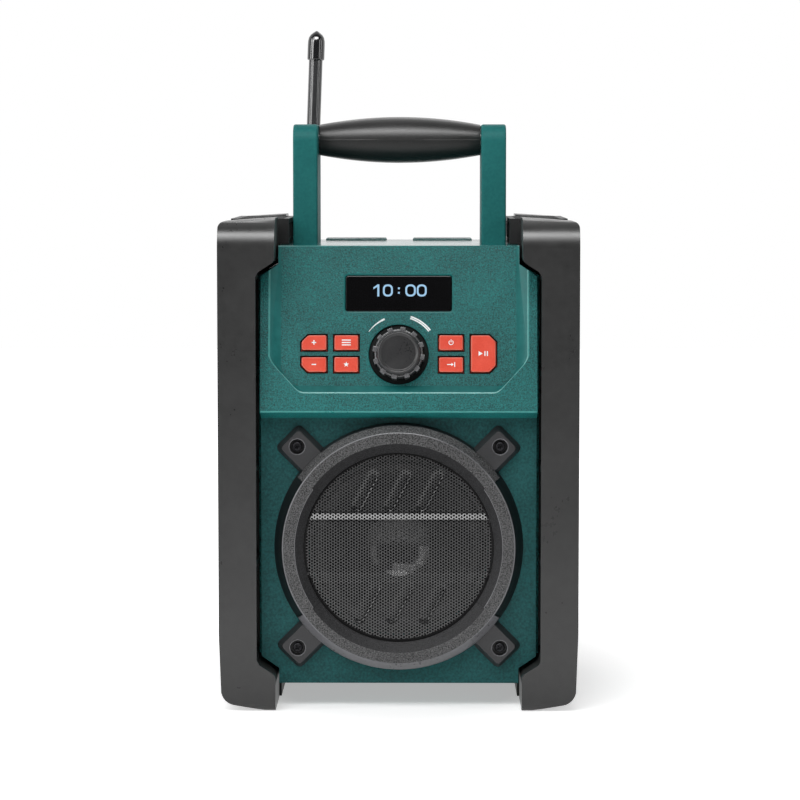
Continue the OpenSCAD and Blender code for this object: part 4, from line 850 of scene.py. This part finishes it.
def pan_screw(shank, length, head, height):
    """A pan-head screw with a cross recess, its head's seat on Z = 0."""
    arm, half = 0.62 * head, 0.16 * head
    plus = [(half, -arm), (half, -half), (arm, -half), (arm, half), (half, half), (half, arm), (-half, arm),
            (-half, half), (-arm, half), (-arm, -half), (-half, -half), (-half, -arm)]
    cross = by_angle(plus, (0, 0), rays)
    rings = [flat_ring(circle(r, len(rays)), h) for r, h in (
        (shank, -length), (shank, 0), (head, 0), (head, height * 0.5), (head * 0.93, height * 0.8),
        (head * 0.78, height * 0.97), (head * 0.7, height))]
    rings += [flat_ring(cross, height), flat_ring([p * 0.9 for p in cross], height - 0.25 * head),
              flat_ring([p * 0.45 for p in cross], height - 0.42 * head)]
    bm = loft(bmesh.new(), rings)
    face_out(bm)
    return bm


def screws(name, points, facing, size, place=None):
    """Puts a screw at each point; size is its shank radius, length, head radius and head height."""
    start = bmesh.new()
    for p in points:
        start.verts.new(p)
    made = run_tree(fixings_tree(), start, {
        "Screw": pattern_object("screw_pattern", pan_screw(*size)), "Facing": facing,
        "Material": STEEL_OXIDE})
    in_place_of(name, settle(made, place), smooth=40)


RING_SCREW_XY = 54.397
screws("ring_screws", [(RING_SCREW_XY * sx, RING_SCREW_XY * sy, 2.2) for sx in (-1, 1) for sy in (-1, 1)],
       (0, 0, 0.5), (1.5, 12, 2.75, 2), SPEAKER)
CASE_SCREWS_XZ = ((52, 18.6), (70.1, 150), (36, 243.4))
screws("case_screws", [(side * x, 30, z) for side in (-1, 1) for x, z in CASE_SCREWS_XZ],
       (-math.pi / 2, 0, 0), (1.5, 14, 2.75, 2))


# ---------- controls ----------

# The keys' places on the panel, in two rows but for the last
UPPER_V, LOWER_V = 37.65, 25.85
KEY_AT = {
    "key_tune_up": (-45.3, UPPER_V), "key_tune_down": (-45.3, LOWER_V), "key_menu": (-28, UPPER_V),
    "key_preset": (-28, LOWER_V), "key_power": (28, UPPER_V), "key_source": (28, LOWER_V),
    "key_play": (45.3, 31.75),
}
# Keys: the cap's corners and rim are rounded
for key in KEY_AT:
    bm = cad_solid(key, PANEL)
    round_edges(bm, 0.8, 4, lambda c, d: abs(d.z) > 0.99 and c.z > -5)
    # The caps' rims take the paler red: a painted highlight
    for f in round_edges(bm, 0.5, 3, lambda c, d: near(c.z, CAP_W, 0.02)):
        f.material_index = 1
    in_place_of(key, settle(bm, PANEL), [SILICONE_RED, SILICONE_PAINTED_HIGHLIGHT])

# A print's clearance over the face that it lies on
CLEAR = 0.005


def print_mark(name, shapes, height, mat, body, thick=0.04):
    """Flat marks on the panel, each given as (outline, hole), where the hole may be None."""
    bm = bmesh.new()
    for shape, hole in shapes:
        low, high = flat_ring(shape, height), flat_ring(shape, height + thick)
        if hole:
            loft(bm, [low, high, flat_ring(hole, height + thick), flat_ring(hole, height), low], ends=False)
        else:
            loft(bm, [low, high])
    bmesh.ops.remove_doubles(bm, verts=bm.verts, dist=1e-4)
    face_out(bm)
    solid(name, settle(bm, PANEL), [mat], body)


def bar(x0, y0, x1, y1):
    return [(x0, y0), (x1, y0), (x1, y1), (x0, y1)]


def arc_band(centre, r0, r1, start, stop, steps=24, grow=None):
    """A band between two radii; grow gives the outer radius at the far end."""
    t = [math.radians(start + (stop - start) * i / steps) for i in range(steps + 1)]
    last = grow or r1
    outer = [(centre[0] + (r1 + (last - r1) * i / steps) * math.cos(a),
              centre[1] + (r1 + (last - r1) * i / steps) * math.sin(a)) for i, a in enumerate(t)]
    inner = [(centre[0] + r0 * math.cos(a), centre[1] + r0 * math.sin(a)) for a in t]
    return outer + inner[::-1]


STAR_R, STAR_DIP = 1.55, (1, 0.42)
MARKS = {
    "key_tune_up": [[(-0.3, -1.2), (0.3, -1.2), (0.3, -0.3), (1.2, -0.3), (1.2, 0.3), (0.3, 0.3), (0.3, 1.2),
                     (-0.3, 1.2), (-0.3, 0.3), (-1.2, 0.3), (-1.2, -0.3), (-0.3, -0.3)]],
    "key_tune_down": [bar(-1.2, -0.3, 1.2, 0.3)],
    "key_menu": [bar(-2.4, y - 0.28, 2.4, y + 0.28) for y in (-1.3, 0, 1.3)],
    "key_preset": [[(STAR_R * math.cos(math.radians(90 + 36 * i)) * STAR_DIP[i % 2],
                     STAR_R * math.sin(math.radians(90 + 36 * i)) * STAR_DIP[i % 2]) for i in range(10)]],
    "key_power": [arc_band((0, 0), 0.95, 1.35, 125, 415, 30), bar(-0.2, 0.1, 0.2, 1.7)],
    "key_source": [[(-2.2, -0.25), (0.2, -0.25), (0.2, -0.9), (1.3, 0), (0.2, 0.9), (0.2, 0.25),
                    (-2.2, 0.25)], bar(1.7, -1.3, 2.2, 1.3)],
    "key_play": [[(-2.6, -1.3), (-0.4, 0), (-2.6, 1.3)], bar(0.5, -1.3, 1.1, 1.3), bar(1.8, -1.3, 2.4, 1.3)],
}
for key, outlines in MARKS.items():
    u, v = KEY_AT[key]
    drawn = [([(x + u, y + v) for x, y in outline], None) for outline in outlines]
    print_mark("mark_" + key, drawn, CAP_W + CLEAR, INK_WHITE, NODE_BODY[key])

# Printed volume scale: a tapering stroke on the left, a double stroke on the right
scale_marks = [(arc_band((0, KNOB_V), 20.0, 20.25, 142.5, 111.6, grow=21.0), None),
               (arc_band((0, KNOB_V), 20.0, 20.75, 72.5, 37.7), None),
               (arc_band((0, KNOB_V), 20.95, 21.75, 72.5, 37.7), None)]
print_mark("volume_scale_print", scale_marks, BAY_W + CLEAR, INK_WHITE, "root")

# Display: window with a softened rim and lit figures just under its face
lens = cad_solid("display_lens", PANEL)
round_edges(lens, 0.3, 2, lambda c, d: c.z > -3.4)
in_place_of("display_lens", settle(lens, PANEL))
FIGURE_V, STROKE, FIGURE_W = (62.7, 69.2), 0.95, -3.26


def zero(u0, u1):
    """An upright rounded loop, as (outline, hole)."""
    v0, v1 = FIGURE_V
    r = (u1 - u0) * 0.42
    hole = bar(u0 + STROKE, v0 + STROKE, u1 - STROKE, v1 - STROKE)
    return corner_arcs(bar(u0, v0, u1, v1), r), corner_arcs(hole, r - STROKE * 0.8)


one = [(-11.5, 62.7), (-10.45, 62.7), (-10.45, 69.2), (-11.4, 69.2), (-13.6, 67.6), (-13.6, 66.6),
       (-11.5, 67.9)]
figures = [zero(-8.5, -3.2), zero(3.5, 9.1), zero(9.65, 14.95), (one, None),
           (bar(-0.45, 66.6, 0.55, 67.6), None), (bar(-0.45, 64.2, 0.55, 65.2), None)]
print_mark("display_figures", figures, FIGURE_W, OLED, "root", thick=0.06)

# Volume knob: stepped body, dished face with a rounded rim, and twelve ribs
KNOB = PANEL @ Matrix.Translation((0, KNOB_V * MM, -3.8 * MM))
KNOB_BODY = [(8.8, 0), (12.7, 0), (13.1, 0.4), (13.1, 7.0), (12.95, 7.5), (12.6, 7.8), (12.2, 7.9),
             (11.8, 7.9), (11.6, 8.0), (11.6, 8.7), (11.45, 9.3), (11.1, 9.75), (10.7, 9.97), (10.4, 10.0),
             (10.0, 9.8), (9.4, 9.3), (9.0, 9.2), (6, 9.16), (0, 9.15), (0, 8.8), (3, 8.8), (3, 5), (8.8, 5)]
RIB_SIZE, RIB_MIDDLE = (2.5, 2.9, 8.2), (12.75, 0, 4.3)
rib = bmesh.new()
bmesh.ops.create_cube(rib, size=1.0)
rib.transform(Matrix.Translation(RIB_MIDDLE) @ Matrix.Diagonal((*RIB_SIZE, 1)))
round_edges(rib, 0.35, 2)
knob = run_tree(ribs_tree(), revolve(lambda a: KNOB_BODY, turn(120)), {
    "Count": 12, "First angle": math.radians(20), "Rib": pattern_object("knob_rib", rib),
    "Material": ABS_KNOB})
# Rib tops and the line on the shoulder take the paler black: a painted highlight
for f in knob.faces:
    c = f.calc_center_median()
    on_rib_top = c.z > 8.05 and c.xy.length > 11.7
    on_line = 7.75 < c.z < 7.95 and 12.15 < c.xy.length < 12.65
    f.material_index = 1 if on_rib_top or on_line else 0
in_place_of("volume_knob", settle(knob, KNOB), [ABS_KNOB, ABS_KNOB_PAINTED_HIGHLIGHT])

# Antenna: a smooth rod, and a domed cap with a small point, leaning a little to the right
rod = cad_solid("antenna_rod")
round_edges(rod, 0.5, 3, lambda c, d: c.z > 215 and math.hypot(d.x, d.y) > 0.5, least=20)
in_place_of("antenna_rod", settle(rod), smooth=40)
ANTENNA = Matrix.Translation((-55 * MM, 72 * MM, 205 * MM)) @ Matrix.Rotation(math.radians(2.1), 4, "Y")
CAP = [(4.0, 148), (4.6, 148), (4.85, 148.3), (4.95, 149), (4.95, 156.5), (4.85, 159), (4.4, 161),
       (3.4, 162.6), (2.0, 163.8), (0.9, 164.6), (0, 165), (0, 152.1), (4.0, 152.1)]
in_place_of("antenna_cap", settle(revolve(lambda a: CAP, turn(64)), ANTENNA), smooth=45)


# ---------- setting ----------

# What a mirror sees of the studio's dark side, where the camera stands, as a share of white
DARK_SIDE = 0.08


def plain_plane(name, corners, mat):
    me = bpy.data.meshes.new(name)
    me.from_pydata(corners, [], [list(range(len(corners)))])
    me.materials.append(mat)
    o = link(name, me)


def seen(tree):
    """1 for what the camera, a mirror or glass sees directly, 0 for light that falls on something else."""
    path = node(tree, "ShaderNodeLightPath").outputs
    shown = node(tree, "ShaderNodeMath", {0: path["Is Camera Ray"], 1: path["Is Glossy Ray"]},
                 operation="MAXIMUM")
    return node(tree, "ShaderNodeMath", {0: shown, 1: path["Is Transmission Ray"]}, operation="MAXIMUM")


# Studio floor: seamless white paper, which keeps the object's shadow and brightens into the sweep
# with its distance from the object. In mirrors it fades towards the studio's dark side
paper, pt = material("paper_seamless_white")
spot = node(pt, "ShaderNodeTexCoord").outputs["Object"]
narrowed = node(pt, "ShaderNodeVectorMath", {0: spot, 1: (1.5, 1, 1)}, operation="MULTIPLY")
away = node(pt, "ShaderNodeVectorMath", {0: narrowed}, operation="LENGTH").outputs["Value"]
rise = node(pt, "ShaderNodeMapRange", {0: away, 1: 0.1, 2: 0.32, 3: 0.4, 4: 1.0})
depth = node(pt, "ShaderNodeSeparateXYZ", {0: spot}).outputs[1]
near_side = node(pt, "ShaderNodeMapRange", {0: depth, 1: -0.7, 2: -0.1, 3: DARK_SIDE, 4: 1.0})
looked_at = node(pt, "ShaderNodeLightPath").outputs["Is Camera Ray"]
dimmed = node(pt, "ShaderNodeMath", {0: looked_at, 1: near_side}, operation="MAXIMUM")
strength = node(pt, "ShaderNodeMath", {0: rise, 1: dimmed}, operation="MULTIPLY")
lit = node(pt, "ShaderNodeBsdfDiffuse", {"Color": colour("#ECECEC")})
glow = node(pt, "ShaderNodeEmission", {"Color": (1, 1, 1, 1), "Strength": strength})
none = node(pt, "ShaderNodeEmission", {"Color": (0, 0, 0, 1), "Strength": 0.0})
pick = node(pt, "ShaderNodeMixShader", {0: seen(pt), 1: none, 2: glow})
total = node(pt, "ShaderNodeAddShader", {0: lit, 1: pick})
node(pt, "ShaderNodeOutputMaterial", {"Surface": total})
plain_plane("floor", [(-3, -3, 0), (3, -3, 0), (3, 3, 0), (-3, 3, 0)], paper)

# The world: a white sweep behind the object, which fades towards the dark side where the camera stands,
# and an even low light for what isn't seen directly
ROOM = 0.14
world = bpy.data.worlds.new("studio")
bpy.context.scene.world = world
world.use_nodes = True
wt = world.node_tree
wt.nodes.clear()
facing = node(wt, "ShaderNodeSeparateXYZ", {0: node(wt, "ShaderNodeTexCoord").outputs["Generated"]})
fade = node(wt, "ShaderNodeMapRange", {0: facing.outputs[1], 1: -0.2, 2: 0.4, 3: DARK_SIDE, 4: 1.0})
straight = node(wt, "ShaderNodeLightPath").outputs["Is Camera Ray"]
sweep = node(wt, "ShaderNodeMath", {0: straight, 1: fade}, operation="MAXIMUM")
room = node(wt, "ShaderNodeBackground", {"Color": (1, 1, 1, 1), "Strength": ROOM})
back = node(wt, "ShaderNodeBackground", {"Color": (1, 1, 1, 1), "Strength": sweep})
mixed = node(wt, "ShaderNodeMixShader", {0: seen(wt), 1: room, 2: back})
node(wt, "ShaderNodeOutputWorld", {"Surface": mixed})


def softbox(name, place, width, height, watts, target=(0, 0, 0.15), mirrored=True, lights=True):
    """A rectangular lamp; it can be left out of what shines back, or of what lights a surface."""
    light = bpy.data.lights.new(name, "AREA")
    light.shape = "RECTANGLE"
    light.size = width
    light.size_y = height
    light.energy = watts
    o = link(name, light)
    o.location = place
    o.rotation_euler = (Vector(target) - Vector(place)).to_track_quat("-Z", "Y").to_euler()
    o.visible_camera = False
    o.visible_glossy = mirrored
    o.visible_diffuse = lights


softbox("key_light", (-0.25, -1.05, 1.3), 1.2, 0.8, 13)
softbox("left_key", (-1.0, -1.0, 1.1), 0.6, 0.8, 5)
softbox("left_card", (-1.1, -0.95, 0.5), 0.5, 0.9, 7, lights=False)
softbox("right_card", (1.1, -0.95, 0.5), 0.3, 0.9, 2, lights=False)
softbox("top_card", (0.05, -0.6, 0.95), 0.7, 0.3, 6, lights=False)
softbox("left_strip", (-1.5, -0.4, 0.6), 0.2, 1.2, 6)
softbox("right_strip", (1.5, -0.4, 0.6), 0.2, 1.2, 3)
softbox("back_light", (0.1, 1.3, 1.3), 1.4, 0.7, 4)
softbox("floor_bounce", (0, -0.2, 0.004), 0.3, 0.12, 0.3, target=(0, -0.2, 1), mirrored=False)

# Camera: its focal length is 2925 pixels of a picture 800 pixels wide
SENSOR = 36
camera = bpy.data.cameras.new("camera")
camera.sensor_width = SENSOR
camera.lens = 2925 / 800 * SENSOR
camera.clip_start = 0.05
eye = link("camera", camera)
eye.location = (0.014, -1.640, 0.2923)
eye.rotation_euler = (math.radians(90 - 4.6), 0, math.radians(0.488))
bpy.context.scene.camera = eye

bpy.context.scene.view_settings.view_transform = "Standard"
